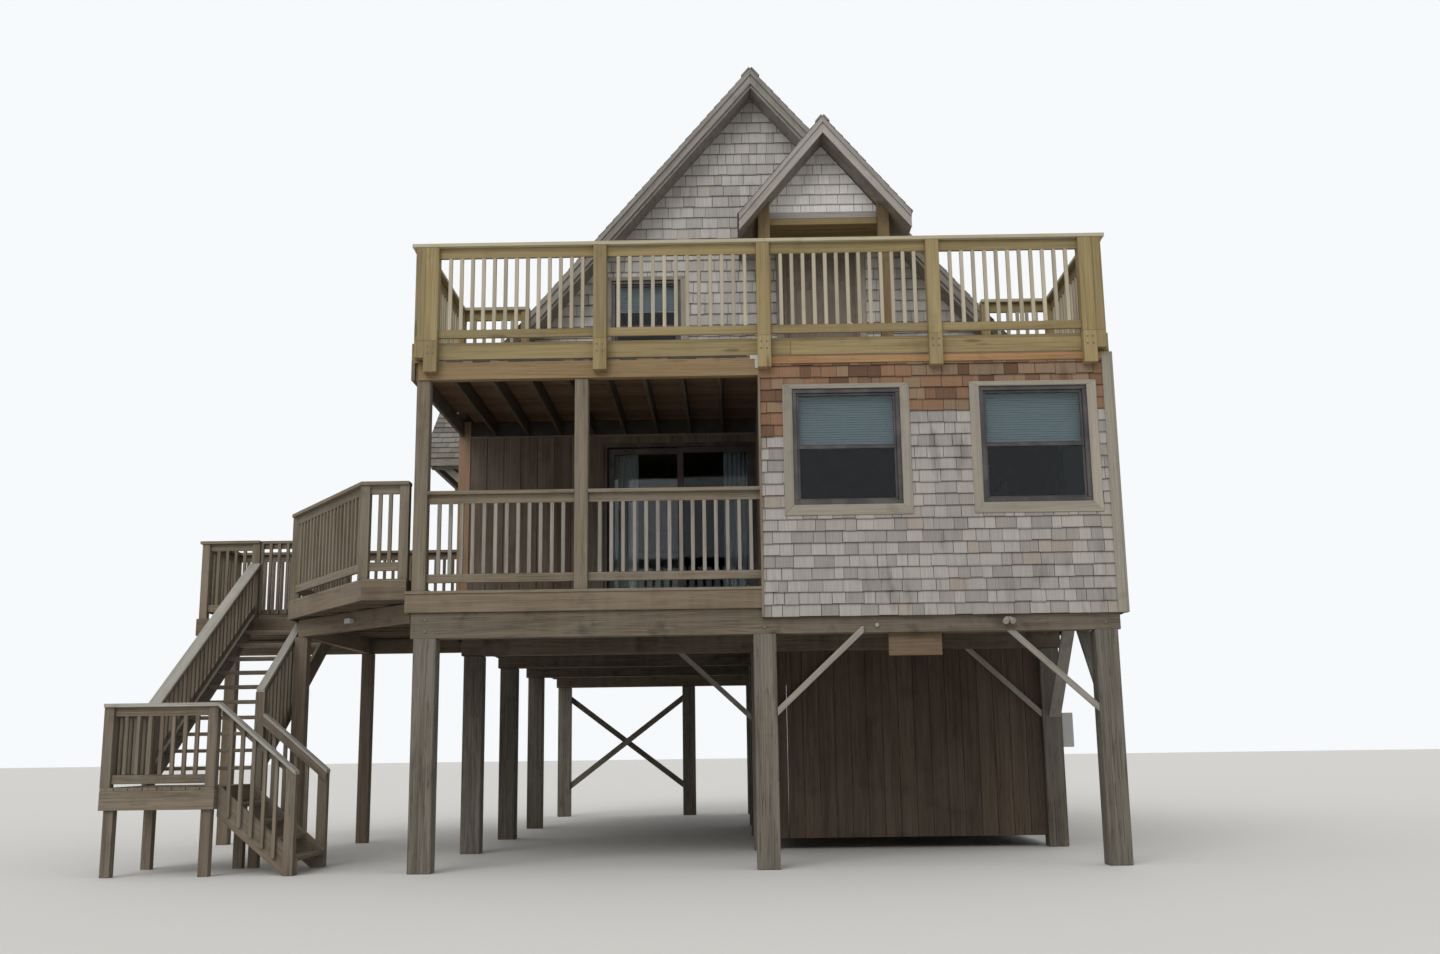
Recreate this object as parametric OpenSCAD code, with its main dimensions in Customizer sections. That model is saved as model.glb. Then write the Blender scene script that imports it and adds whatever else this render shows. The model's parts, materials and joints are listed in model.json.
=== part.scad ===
// Shingled beach house on timber piles, with a porch, a roof deck and an outside stair.
// Millimetres. X runs to the right along the front, Y runs back through the house, Z is up.
// The origin is the centre of the front middle pile's foot, on the ground.

/* [House] */
// Width of the house over its side walls
house_w = 7320; // [6600:20:8400]
// Width of the shingled front room at the right
bay_w = 3660; // [3300:20:4000]
// Depth of the porch and of the front room
porch_depth = 2750; // [2400:10:3200]
// Depth of the main block behind the porch
main_depth = 9300; // [8400:50:10500]
// Thickness of the outer walls
wall_t = 140; // [110:5:200]
// Thickness of the shingled skirt that hangs over the floor frame
skirt_t = 30; // [20:2:40]
// How far the skirt hangs below the floor
skirt_drop = 315; // [260:5:340]

/* [Piles and girders] */
// Side of a square pile
pile = 230; // [180:5:280]
// Underside of the girders above the ground
girder_bottom = 2310; // [2100:10:2600]
// Height of a girder
girder_h = 260; // [200:5:300]
// Thickness of a girder
girder_t = 190; // [120:5:220]
// Centre of the outer piles in from the side walls
pile_inset = 210; // [150:5:260]
// Spacing of the pile rows back from the front of the main block
row_pitch = 2650; // [2400:10:2800]
// Pile rows at that spacing
main_rows = 3; // [3:1:3]
// Centre of the rear pile row in from the back wall
rear_row_inset = 150; // [145:5:200]
// Height of the blocks where the knee braces land on the piles
brace_land = 1490; // [1300:10:1600]
// Depth of a knee brace
brace_w = 60; // [45:1:90]
// Thickness of a knee brace
brace_t = 38; // [30:1:60]
// Run of a knee brace for each unit of its rise
brace_reach = 1.08; // [0.9:0.01:1.2]
// Width of the planks that brace the right piles from front to back
plank_w = 140; // [120:5:180]
// Low ends of the crossed braces in the rear row
cross_low = 500; // [400:10:700]
// High ends of the crossed braces in the rear row
cross_high = 2050; // [1800:10:2150]
// Third points of the rear pile row, out from the middle
rear_pile_x = 1170; // [1000:10:1400]

/* [Floors] */
// Height of the floor joists
joist_h = 190; // [150:5:240]
// Thickness of a joist or rim board
board_t = 38; // [30:1:50]
// Thickness of floor and deck boards
deck_t = 30; // [22:1:40]
// Spacing of the floor joists
joist_pitch = 600; // [400:10:700]
// Floor to the underside of the porch joists
room_h = 2220; // [2100:10:2500]
// Height of the porch joists and of the porch beam
porch_joist_h = 190; // [150:5:240]
// Spacing of the porch joists
porch_joist_pitch = 400; // [350:10:600]
// Height of the newer rim under the roof deck
rim_h = 155; // [130:5:200]
// Thickness of the upper floor inside the main block
upper_floor_t = 200; // [150:5:220]

/* [Main roof] */
// Slope of the main roof in degrees
roof_angle = 49.2; // [45:0.2:52]
// Thickness of the main roof
roof_t = 160; // [120:5:200]
// Roof past the gable walls
rake_overhang = 350; // [250:10:400]
// Roof past the side walls
eave_overhang = 80; // [40:5:150]

/* [Deck porch gable] */
// Middle of the small gable on the roof deck, right of the house's middle
gablet_x = 850; // [700:10:950]
// Width of the small gable over its eaves
gablet_w = 2060; // [1900:10:2200]
// Slope of the small gable in degrees
gablet_angle = 50; // [46:0.5:53]
// Distance of its rake from the front of the house
gablet_front = 1650; // [1500:10:1800]
// Height of its ridge above its ceiling
gablet_rise = 1170; // [1110:10:1210]
// Thickness of its ceiling, which lies on the head of the door
gablet_ceiling_t = 60; // [40:5:80]
// Thickness of its roof
gablet_t = 120; // [90:5:150]
// Overhang of its rake past its posts
gablet_overhang = 260; // [200:5:320]
// Clear distance between its posts
gablet_clear = 1310; // [1200:10:1400]
// Side of its posts
gablet_post = 140; // [110:5:160]

/* [Roof deck rail] */
// Height of the rail above the deck
rail_h = 1065; // [950:5:1150]
// Side of the rail posts
rail_post = 140; // [110:5:160]
// How far the posts stand out past the rim
post_proud = 110; // [80:5:130]
// How far the posts reach below the top of the deck
post_drop = 340; // [300:5:360]
// End posts of the front rail, in from the side walls
end_post_in = 215; // [200:5:260]
// Outer faces of the corner posts, in from the side walls
corner_in = 45; // [30:5:50]
// Second post of the front rail, from the middle of the house
post_b = -1670; // [-1800:10:-1500]
// Third post of the front rail, from the middle of the house
post_c = 50; // [-100:10:150]
// Fourth post of the front rail, from the middle of the house
post_d = 1840; // [1700:10:1950]
// Setback of the rear rails from the front of the house
rear_rail_y = 2150; // [2000:10:2250]
// Length of each rear rail
rear_rail_len = 800; // [600:10:850]
// Thickness of the cap board
cap_t = 38; // [30:1:45]
// Width of the cap board
cap_w = 150; // [140:5:170]
// Height of the rail board under the cap
top_rail_h = 115; // [89:1:140]
// Height of the bottom rail board
bottom_rail_h = 89; // [70:1:110]
// Gap under the bottom rail
bottom_gap = 35; // [25:5:60]
// Side of a baluster
baluster = 38; // [32:1:45]
// Spacing of the balusters
baluster_pitch = 119; // [110:1:130]

/* [Porch rail] */
// Height of the porch rail
porch_rail_h = 1040; // [900:5:1100]
// Height of the porch rail's top board
porch_top_h = 89; // [70:1:115]
// Gap under the porch rail's bottom board
porch_gap = 90; // [60:5:120]
// Side of the porch posts
porch_post = 140; // [110:5:160]
// Corner post in from the end of the porch
porch_post_inset = 60; // [30:5:100]
// Middle porch post, left of the front room
mid_post_x = 1870; // [1700:10:2000]

/* [Openings] */
// Width of a sash window
win_w = 1120; // [1000:10:1180]
// Height of a sash window
win_h = 1230; // [1100:10:1300]
// Sill of the sash windows above the floor
win_sill = 830; // [780:10:900]
// Width of the boards round a window
casing_w = 100; // [80:5:120]
// Thickness of the boards round a window
casing_t = 22; // [16:1:30]
// Width of a window or door frame
frame_w = 45; // [35:1:60]
// Depth of a window frame in its wall
frame_d = 90; // [70:5:105]
// Thickness of window glass
glass_t = 8; // [6:1:12]
// Left front window's middle, right of the front room's left face
win_a = 890; // [860:10:950]
// Right front window's middle, right of the front room's left face
win_b = 2835; // [2750:10:2870]
// Width of the sliding door with its frame
slider_w = 1890; // [1800:10:2000]
// Height of the sliding door with its frame
slider_h = 2110; // [2050:5:2160]
// Thickness of a door panel
panel_t = 36; // [30:1:45]
// Gap between the two panels of the sliding door
panel_gap = 14; // [10:1:20]
// Width of a door panel's border
stile_w = 75; // [60:5:90]
// Width of a plain door leaf
leaf_w = 860; // [800:10:900]
// Height of a plain door leaf
leaf_h = 2030; // [1980:5:2040]

/* [Side entrance] */
// Middle of the entry door, behind the front of the house
entry_y = 4700; // [4660:10:4740]
// Width of the canopy over the entry door
canopy_w = 2180; // [2000:10:2250]
// How far the canopy stands out from the wall
canopy_out = 640; // [560:10:720]
// Slope of the canopy in degrees
canopy_angle = 41; // [38:0.5:44]
// Height of the canopy's eave above the porch floor
canopy_eave = 2150; // [2100:10:2200]
// Thickness of the canopy's roof
canopy_t = 80; // [60:5:100]

/* [Left deck] */
// Step up from the porch to the left deck
left_step = 140; // [120:5:170]
// Length of the left deck's front edge
left_front = 460; // [400:10:600]
// Left end of its slanting edge, out from the side wall
left_out = 1840; // [1700:10:1950]
// Depth of its slanting edge
left_slant = 2000; // [1800:10:2200]
// Head of the stair, behind the front of the house
stair_head = 4050; // [3950:10:4150]
// Depth of the deck behind the head of the stair
walk_depth = 1250; // [1240:10:1350]
// Left end of the deck, out from the side wall
walk_out = 3680; // [3500:10:3900]
// Height of the left deck's rail
left_rail_h = 1020; // [950:5:1100]
// Left deck's rails in from its edges
rail_in = 80; // [80:5:100]
// Side of the left deck's rail posts
small_post = 100; // [89:1:120]
// Side of the posts that carry the left deck and the stair
deck_leg = 150; // [130:5:180]
// Height of the beams under the left deck
deck_beam_h = 200; // [150:5:220]

/* [Stair] */
// Clear width of the upper flight over its strings
flight_w = 1150; // [1050:10:1200]
// Risers of the upper flight
upper_risers = 11; // [10:1:12]
// Going of the upper flight
upper_going = 290; // [270:5:300]
// Height of the landing
landing_z = 870; // [840:10:900]
// Depth of the landing, front to back
landing_d = 1150; // [1100:10:1250]
// Rails of the flights in from the edges of the strings
stair_rail_in = 50; // [50:1:60]
// Width of the cap on the upper flight's right rail
stair_cap_w = 89; // [80:1:94]
// Width of the caps on the upper flight's left rail and on the lower flight's rails
wide_cap_w = 140; // [89:1:145]
// Risers of the lower flight
lower_risers = 5; // [4:1:5]
// Going of the lower flight
lower_going = 205; // [200:5:220]
// Thickness of a tread
tread_t = 38; // [30:1:45]
// Height of a string board
string_h = 240; // [220:5:260]
// Height of the upper flight's left rail above the line of the nosings
stair_rail_h = 720; // [680:5:800]
// Height of the upper flight's right rail, which runs up to the underside of the deck
right_rail_h = 868; // [840:1:880]
// Height of the landing's rail
landing_rail_h = 830; // [800:5:900]
// Ends of the balusters above the lower edge of the string they are nailed to
baluster_foot = 92; // [60:1:110]

/* [Gate] */
// Gap under the gate
gate_gap = 50; // [40:5:80]
// Width of the gate's flat top board
gate_top_w = 70; // [60:1:80]
// Radius of a hinge barrel
barrel_r = 9; // [7:0.5:9]
// Length of a hinge barrel
barrel_l = 60; // [50:1:70]
// Thickness of a hinge strap
strap_t = 4; // [3:0.5:5]

/* [Store under the house] */
// Floor of the store above the ground
store_z = 130; // [100:5:180]
// Thickness of the store's board walls
store_t = 45; // [30:1:60]
// Pile rows that the store reaches back
store_bays = 2; // [1:1:3]
// Meter box width
meter_w = 130; // [100:5:160]
// Meter box height
meter_h = 400; // [300:10:450]
// Height of the meter box above the ground
meter_z = 1140; // [900:10:1300]

/* [Hidden] */

half_w = house_w / 2;
front = -pile / 2 - 15;
main_y = front + porch_depth;
back = main_y + main_depth;
bay_x = half_w - bay_w;

frame_z = girder_bottom + girder_h;
board_z = frame_z + joist_h;
floor_z = board_z + deck_t;
ceiling_z = floor_z + room_h;
plate_z = ceiling_z + porch_joist_h;
ceiling_board_t = 25;
rim_z = plate_z + ceiling_board_t;
deck_under = rim_z + rim_h;
deck_z = deck_under + deck_t;

roof_drop = roof_t / cos(roof_angle);
ridge_z = plate_z + roof_drop + half_w * tan(roof_angle);
rake_front = main_y - rake_overhang;
rake_back = back + rake_overhang;
eave_x = half_w + eave_overhang;
function roof_under(x) = ridge_z - roof_drop - tan(roof_angle) * abs(x);
function roof_top(x) = ridge_z - tan(roof_angle) * abs(x);

rear_row = back - rear_row_inset;
pile_rows = [0, for (i = [0 : main_rows - 1]) main_y + wall_t / 2 + i * row_pitch, rear_row];
pile_x = half_w - pile_inset;

left_z = floor_z + left_step;
upper_going_total = (upper_risers - 1) * upper_going;
flight_right = -half_w - left_out;
flight_left = flight_right - flight_w;
head_y = front + stair_head;
landing_back = head_y - upper_going_total;
landing_front = landing_back - landing_d;
landing_right = flight_right;
landing_left = flight_left;
upper_rise = (left_z - landing_z) / upper_risers;
lower_rise = landing_z / lower_risers;
lower_run = (lower_risers - 1) * lower_going;
foot_x = landing_right + lower_run;

left_in = 50;

deck_points = [
    [-half_w, front + left_in],
    [-half_w - left_front, front + left_in],
    [-half_w - left_out, front + left_in + left_slant],
    [-half_w - left_out, head_y],
    [-half_w - walk_out, head_y],
    [-half_w - walk_out, head_y + walk_depth],
    [-half_w, head_y + walk_depth]
];

// A block given by its low and high limits on each axis
module block(x, y, z) {
    translate([x[0], y[0], z[0]]) cube([x[1] - x[0], y[1] - y[0], z[1] - z[0]]);
}

// A profile drawn in X and Z, run back along Y
module along_y(y0, y1) {
    translate([0, y1, 0]) rotate([90, 0, 0]) linear_extrude(y1 - y0) children();
}

// A profile drawn in Y and Z, run across along X
module along_x(x0, x1) {
    translate([x0, 0, 0]) rotate([90, 0, 90]) linear_extrude(x1 - x0) children();
}

// Places its children at one end of a level line, turned so that X runs along it
module on_line(a, b) {
    translate(a) rotate([0, 0, atan2(b[1] - a[1], b[0] - a[0])]) children();
}

function span(a, b) = norm([b[0] - a[0], b[1] - a[1]]);

// Sideways direction of a level line
function across(a, b) = [a[1] - b[1], b[0] - a[0]] / span(a, b);

// Corner p of the line a, p, b set off sideways by w; at an end of the line a or b is p itself
function mitre(a, p, b, w) =
    let (n = across(a == p ? p : a, a == p ? b : p), m = across(b == p ? a : p, b == p ? p : b))
        p + (n + m) * w / (1 + n * m);

// Outline of a flat strip of width w along a line of points
function strip_outline(pts, w) =
    let (last = len(pts) - 1)
        concat([for (i = [0 : last]) mitre(pts[max(i - 1, 0)], pts[i], pts[min(i + 1, last)], w / 2)],
               [for (i = [last : -1 : 0])
                   mitre(pts[max(i - 1, 0)], pts[i], pts[min(i + 1, last)], -w / 2)]);

// A clockwise outline drawn in by w on every side
function inset(pts, w) =
    let (n = len(pts))
        [for (i = [0 : n - 1]) mitre(pts[(i + n - 1) % n], pts[i], pts[(i + 1) % n], -w)];

// Level rail between two posts: two boards with balusters between them
module rail_panel(len, height, top_h, gap) {
    under_cap = height - cap_t;
    count = max(1, round(len / baluster_pitch) - 1);
    step = len / (count + 1);
    block([0, len], [-board_t / 2, board_t / 2], [gap, gap + bottom_rail_h]);
    block([0, len], [-board_t / 2, board_t / 2], [under_cap - top_h, under_cap]);
    for (i = [1 : count])
        block([i * step - baluster / 2, i * step + baluster / 2], [-baluster / 2, baluster / 2],
              [gap + bottom_rail_h, under_cap - top_h]);
}

// Flat cap board on top of a rail
module cap_board(len, height, past = 0) {
    block([-past, len + past], [-cap_w / 2, cap_w / 2], [height - cap_t, height]);
}

// Board that falls along X; its top would be at the height top where X is 0
module falling_board(x, y, top, thick, slope) {
    along_y(y[0], y[1])
        polygon([[x[0], top - slope * x[0]], [x[1], top - slope * x[1]],
                 [x[1], top - thick - slope * x[1]], [x[0], top - thick - slope * x[0]]]);
}

// Upright balusters along a falling rail, spread between two distances along X
module falling_balusters(x, y, top, low, slope) {
    count = max(1, round((x[1] - x[0]) / baluster_pitch) - 1);
    step = (x[1] - x[0]) / (count + 1);
    for (i = [1 : count])
        let (mid = x[0] + i * step)
            block([mid - baluster / 2, mid + baluster / 2], y, [low - slope * mid, top - slope * mid]);
}

// Post with its top cut to the slope of the cap that lies on it
module post_under_cap(x, y, low, top, slope) {
    along_y(y[0], y[1])
        polygon([[x[0], low], [x[1], low], [x[1], top - slope * x[1]], [x[0], top - slope * x[0]]]);
}

// Windows. Each is [x, width, sill height, height] on its own wall's line.
front_windows = [[bay_x + win_a, win_w, floor_z + win_sill, win_h],
                 [bay_x + win_b, win_w, floor_z + win_sill, win_h]];
side_window_ys = [front + porch_depth / 2, main_y + 0.3 * main_depth, main_y + 0.7 * main_depth];
right_windows = [for (y = side_window_ys) [y, win_w, floor_z + win_sill, win_h]];
left_windows = [[side_window_ys[2], win_w, floor_z + win_sill, win_h]];
back_windows = [for (x = [-half_w / 2, half_w / 2]) [x, win_w, floor_z + win_sill, win_h]];
attic_w = 870;
attic_h = 1200;
attic_in = 2300;
attic_sill = 400;
attic_windows = [[-half_w + attic_in, attic_w, deck_z + attic_sill, attic_h]];
back_attic_windows = [[0, attic_w, deck_z + attic_sill, attic_h]];

// Hole for a window through a wall that runs along X
module window_hole(w) {
    block([w[0] - w[1] / 2, w[0] + w[1] / 2], [-1, wall_t + 1], [w[2], w[2] + w[3]]);
}

// Frame and meeting rail of a window; the wall's outer face is at Y 0
meeting_h = 44;

module window_frame(w) {
    x = [w[0] - w[1] / 2, w[0] + w[1] / 2];
    mid = w[2] + w[3] / 2;
    difference() {
        block(x, [0, frame_d], [w[2], w[2] + w[3]]);
        block([x[0] + frame_w, x[1] - frame_w], [-1, frame_d + 1],
              [w[2] + frame_w, w[2] + w[3] - frame_w]);
    }
    block([x[0] + frame_w, x[1] - frame_w], [frame_d / 3, frame_d / 3 + 35],
          [mid - meeting_h / 2, mid + meeting_h / 2]);
}

// Boards round a window, with a sill board that stands out
sill_out = 35;
sill_past = 15;

module window_casing(w) {
    x = [w[0] - w[1] / 2, w[0] + w[1] / 2];
    z = [w[2], w[2] + w[3]];
    difference() {
        block([x[0] - casing_w, x[1] + casing_w], [-casing_t, 0],
              [z[0] - 1.3 * casing_w, z[1] + 0.7 * casing_w]);
        block(x, [-casing_t - 1, 1], z);
    }
    block([x[0] - casing_w - sill_past, x[1] + casing_w + sill_past],
          [-casing_t - sill_out, -casing_t], [z[0] - 40, z[0]]);
}

// The two panes of a window
module window_pane(w) {
    mid = w[2] + w[3] / 2;
    for (z = [[w[2] + frame_w, mid - meeting_h / 2], [mid + meeting_h / 2, w[2] + w[3] - frame_w]])
        block([w[0] - w[1] / 2 + frame_w, w[0] + w[1] / 2 - frame_w],
              [frame_d / 3 + 10, frame_d / 3 + 10 + glass_t], z);
}

// Places for the walls: each turns a wall drawn along X with its outer face at Y 0
module at_front() { translate([0, front, 0]) children(); }
module at_main() { translate([0, main_y, 0]) children(); }
module at_back() { translate([0, back, 0]) rotate([0, 0, 180]) children(); }
module at_right() { translate([half_w, 0, 0]) rotate([0, 0, 90]) children(); }
module at_left() { translate([-half_w, 0, 0]) rotate([0, 0, -90]) children(); }

module each_window() {
    at_front() for (w = front_windows) { $w = w; children(); }
    at_right() for (w = right_windows) { $w = w; children(); }
    at_left() for (w = left_windows) { $w = [-w[0], w[1], w[2], w[3]]; children(); }
    at_back() for (w = back_windows) { $w = [-w[0], w[1], w[2], w[3]]; children(); }
    at_main() for (w = attic_windows) { $w = w; children(); }
    at_back() for (w = back_attic_windows) { $w = w; children(); }
}

module piles() color("tan") {
    for (y = pile_rows)
        for (x = [-pile_x, 0, pile_x])
            block([x - pile / 2, x + pile / 2], [y - pile / 2, y + pile / 2], [0, girder_bottom]);
    for (x = [-rear_pile_x, rear_pile_x])
        block([x - pile / 2, x + pile / 2], [rear_row - pile / 2, rear_row + pile / 2],
              [0, girder_bottom]);
}

girder_in = 60;

module girders() color("burlywood") {
    for (y = pile_rows)
        block([-half_w + girder_in, half_w - girder_in], [y - girder_t / 2, y + girder_t / 2],
              [girder_bottom, frame_z]);
}

brace_rise = girder_bottom - brace_land;
brace_run = brace_reach * brace_rise;
brace_slope = brace_rise / brace_run;
brace_tall = brace_w * sqrt(1 + brace_slope * brace_slope);

// Places a brace drawn in X and Z at the side face of a pile, leaning right (1) or left (-1)
module from_pile(side, face_x, y) {
    along_y(y, y + brace_t) translate([face_x, 0]) mirror([side < 0 ? 1 : 0, 0]) children();
}

// Knee brace under a girder, cut to fit the pile's face and the girder's underside
module knee_brace(side, face_x, row_y) {
    from_pile(side, face_x, row_y - girder_t / 2)
        polygon([[0, brace_land], [brace_run, girder_bottom],
                 [brace_run - brace_tall / brace_slope, girder_bottom],
                 [0, brace_land + brace_tall]]);
}

// How far the lapped knee brace runs up the face of its girder
brace_lap = 60;

// Knee brace that laps over the front face of a girder
module lapped_brace(side, face_x, row_y) {
    top = girder_bottom + brace_lap;
    from_pile(side, face_x, row_y - girder_t / 2 - brace_t)
        polygon([[0, brace_land], [brace_run, girder_bottom], [brace_run, top],
                 [brace_run + (brace_lap - brace_tall) / brace_slope, top],
                 [0, brace_land + brace_tall]]);
}

// Planks of the depth braces, in from the outer faces of the piles
plank_in = 15;

// Plank at 45 degrees between a right pile's face and the floor frame
module depth_brace(side, face_y) {
    rise = frame_z - brace_land;
    tall = brace_t * sqrt(2);
    plank_x = pile_x + pile / 2 - plank_in - plank_w;
    along_x(plank_x, plank_x + plank_w)
        translate([face_y, 0]) mirror([side < 0 ? 1 : 0, 0])
            polygon([[0, brace_land], [rise, frame_z], [rise - tall, frame_z],
                     [0, brace_land + tall]]);
}

// One of the two crossed braces in the rear row, each in its own plane
module cross_brace(x0, x1, y) {
    along_y(y, y + brace_t)
        polygon([[x0, cross_low], [x1, cross_high], [x1, cross_high + brace_tall],
                 [x0, cross_low + brace_tall]]);
}

module knee_braces() color("gray") {
    side_face = pile / 2;
    lapped_brace(1, side_face, pile_rows[0]);
    knee_brace(1, side_face, pile_rows[1]);
    knee_brace(-1, -side_face, pile_rows[1]);
    for (y = [pile_rows[0], pile_rows[1]])
        knee_brace(-1, pile_x - side_face, y);
    depth_brace(1, pile_rows[0] + side_face);
    depth_brace(-1, pile_rows[1] - side_face);
    x0 = -pile_x + side_face;
    x1 = -rear_pile_x - side_face;
    cross_brace(x0, x1, rear_row - pile / 4);
    cross_brace(x1, x0, rear_row + pile / 4);
}

module floor_frame() color("tan") {
    z = [frame_z, board_z];
    side = half_w - skirt_t;
    end = back - skirt_t;
    block([-half_w, bay_x], [front, front + board_t], z);
    block([bay_x, side], [front + skirt_t, front + skirt_t + board_t], z);
    block([-half_w, -half_w + board_t], [front, main_y], z);
    block([-side, -side + 3 * board_t], [main_y, end], z);
    block([side - 3 * board_t, side], [front + skirt_t, end], z);
    block([-side, side], [end - board_t, end], z);
    for (x = [-half_w + joist_pitch : joist_pitch : half_w - joist_pitch / 2])
        block([x - board_t / 2, x + board_t / 2],
              [front + (x < bay_x ? 0 : skirt_t) + board_t / 2, end - board_t / 2], z);
}

module interior_floor() color("peru") {
    side = half_w - skirt_t;
    block([-side, side], [main_y, back - skirt_t], [board_z, floor_z]);
    block([bay_x, side], [front + skirt_t, main_y], [board_z, floor_z]);
}

module porch_decking() color("tan")
    block([-half_w, bay_x], [front - 15, main_y], [board_z, floor_z]);

module store_walls() color("sienna") {
    z = [store_z, girder_bottom];
    inner = pile / 2;
    outer = pile_x - pile / 2;
    y0 = pile_rows[1];
    y1 = pile_rows[1 + store_bays];
    block([inner, outer], [y0 - store_t, y0], z);
    block([inner, outer], [y1, y1 + store_t], z);
    for (i = [1 : store_bays])
        for (x = [0, pile_x])
            block([x - store_t / 2, x + store_t / 2],
                  [pile_rows[i] + pile / 2, pile_rows[i + 1] - pile / 2], z);
}

meter_edge = 25;

module meter_box() color("silver")
    block([pile_x + pile / 2, pile_x + pile / 2 + meter_w],
          [pile_rows[1] - pile / 2 + meter_edge, pile_rows[1] + pile / 2 - meter_edge],
          [meter_z, meter_z + meter_h]);

module bay_front_wall() color("silver") {
    difference() {
        at_front() block([bay_x, half_w], [0, wall_t], [floor_z, plate_z]);
        at_front() for (w = front_windows) window_hole(w);
    }
    block([bay_x, half_w], [front, front + skirt_t], [floor_z - skirt_drop, floor_z]);
}

module bay_side_wall() color("silver")
    block([bay_x, bay_x + wall_t], [front + wall_t, main_y], [floor_z, plate_z]);

// Long side wall of the main block, with its top cut to the slope of the roof
module side_wall() {
    along_y(main_y, back)
        polygon([[half_w, floor_z], [half_w, roof_under(half_w)],
                 [half_w - wall_t, roof_under(half_w - wall_t)], [half_w - wall_t, floor_z]]);
    block([half_w - skirt_t, half_w], [main_y, back], [floor_z - skirt_drop, floor_z]);
}

module right_wall() color("silver") {
    difference() {
        union() {
            side_wall();
            block([half_w - wall_t, half_w], [front + wall_t, main_y], [floor_z, plate_z]);
        }
        at_right() for (w = right_windows) window_hole(w);
    }
    block([half_w - skirt_t, half_w], [front + skirt_t, main_y], [floor_z - skirt_drop, floor_z]);
}

module left_wall() color("silver") {
    difference() {
        mirror([1, 0, 0]) side_wall();
        at_left() for (w = left_windows) window_hole([-w[0], w[1], w[2], w[3]]);
        block([-half_w - 1, -half_w + wall_t + 1],
              [front + entry_y - leaf_w / 2 - frame_w, front + entry_y + leaf_w / 2 + frame_w],
              [left_z, left_z + leaf_h + frame_w]);
    }
}

module back_wall() color("silver") {
    inner = half_w - wall_t;
    difference() {
        block([-inner, inner], [back - wall_t, back], [floor_z, plate_z]);
        at_back() for (w = back_windows) window_hole([-w[0], w[1], w[2], w[3]]);
    }
    block([-half_w + skirt_t, half_w - skirt_t], [back - skirt_t, back],
          [floor_z - skirt_drop, floor_z]);
}

module porch_wall() color("sienna")
    block([-half_w + wall_t, bay_x - slider_w], [main_y, main_y + wall_t], [floor_z, plate_z]);

module wall_over_slider() color("sienna")
    block([bay_x - slider_w, bay_x + wall_t], [main_y, main_y + wall_t],
          [floor_z + slider_h, plate_z]);

module front_gable_wall() color("silver") {
    inner = half_w - wall_t;
    difference() {
        along_y(main_y, main_y + wall_t)
            polygon([[-inner, plate_z], [bay_x + wall_t, plate_z], [bay_x + wall_t, ceiling_z],
                     [inner, ceiling_z], [inner, roof_under(inner)], [0, roof_under(0)],
                     [-inner, roof_under(inner)]]);
        at_main() for (w = attic_windows) window_hole(w);
        block([gablet_x - leaf_w / 2 - frame_w, gablet_x + leaf_w / 2 + frame_w],
              [main_y - 1, main_y + wall_t + 1], [deck_z, deck_z + leaf_h + frame_w]);
    }
}

module back_gable_wall() color("silver") {
    inner = half_w - wall_t;
    difference() {
        along_y(back - wall_t, back)
            polygon([[-inner, plate_z], [inner, plate_z], [inner, roof_under(inner)],
                     [0, roof_under(0)], [-inner, roof_under(inner)]]);
        at_back() for (w = back_attic_windows) window_hole(w);
    }
}

module upper_floor() color("peru") {
    inner = half_w - wall_t;
    top = deck_z - 10;
    edge_z = roof_under(inner) - 10;
    edge_x = inner - (top - edge_z) / tan(roof_angle);
    along_y(main_y + wall_t, back - wall_t)
        polygon([[-inner, top - upper_floor_t], [inner, top - upper_floor_t], [inner, edge_z],
                 [edge_x, top], [-edge_x, top], [-inner, edge_z]]);
}

module window_frames() color("dimgray") each_window() window_frame($w);
module window_glass() color("lightsteelblue") {
    each_window() window_pane($w);
    translate([bay_x - frame_w - panel_w, fixed_y, slider_z0]) panel_glass(panel_w, panel_h);
}

module window_trim() color("tan") each_window() window_casing($w);

// Sliding door: two panels on two tracks, the moving one behind the fixed one
slider_x0 = bay_x - slider_w;
slider_z0 = floor_z + 25;
slider_z1 = floor_z + slider_h - frame_w;
panel_w = (slider_w - 2 * frame_w + stile_w) / 2;
fixed_y = main_y + 25;
moving_y = fixed_y + panel_t + panel_gap;
run_gap = 6;
track_gap = 0.3;
track_w = 10;
handle_h = 220;
handle_z = 950;

module slider_frame() color("saddlebrown") {
    depth = 2 * panel_t + panel_gap + 50;
    track_y = moving_y + panel_t / 2;
    difference() {
        block([slider_x0, bay_x], [main_y, main_y + depth], [floor_z, floor_z + slider_h]);
        block([slider_x0 + frame_w, bay_x - frame_w], [main_y - 1, main_y + depth + 1],
              [slider_z0, slider_z1]);
    }
    block([slider_x0 + frame_w, bay_x - frame_w], [track_y - track_w / 2, track_y + track_w / 2],
          [slider_z0, slider_z0 + run_gap - track_gap]);
}

// Border of a door panel, its low corner at the origin
module panel_border(w, h) {
    difference() {
        cube([w, panel_t, h]);
        translate([stile_w, -1, stile_w]) cube([w - 2 * stile_w, panel_t + 2, h - 2 * stile_w]);
    }
}

module panel_glass(w, h)
    translate([stile_w, (panel_t - glass_t) / 2, stile_w])
        cube([w - 2 * stile_w, glass_t, h - 2 * stile_w]);

panel_h = slider_z1 - slider_z0;

module fixed_panel() color("saddlebrown")
    translate([bay_x - frame_w - panel_w, fixed_y, slider_z0]) panel_border(panel_w, panel_h);

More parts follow.
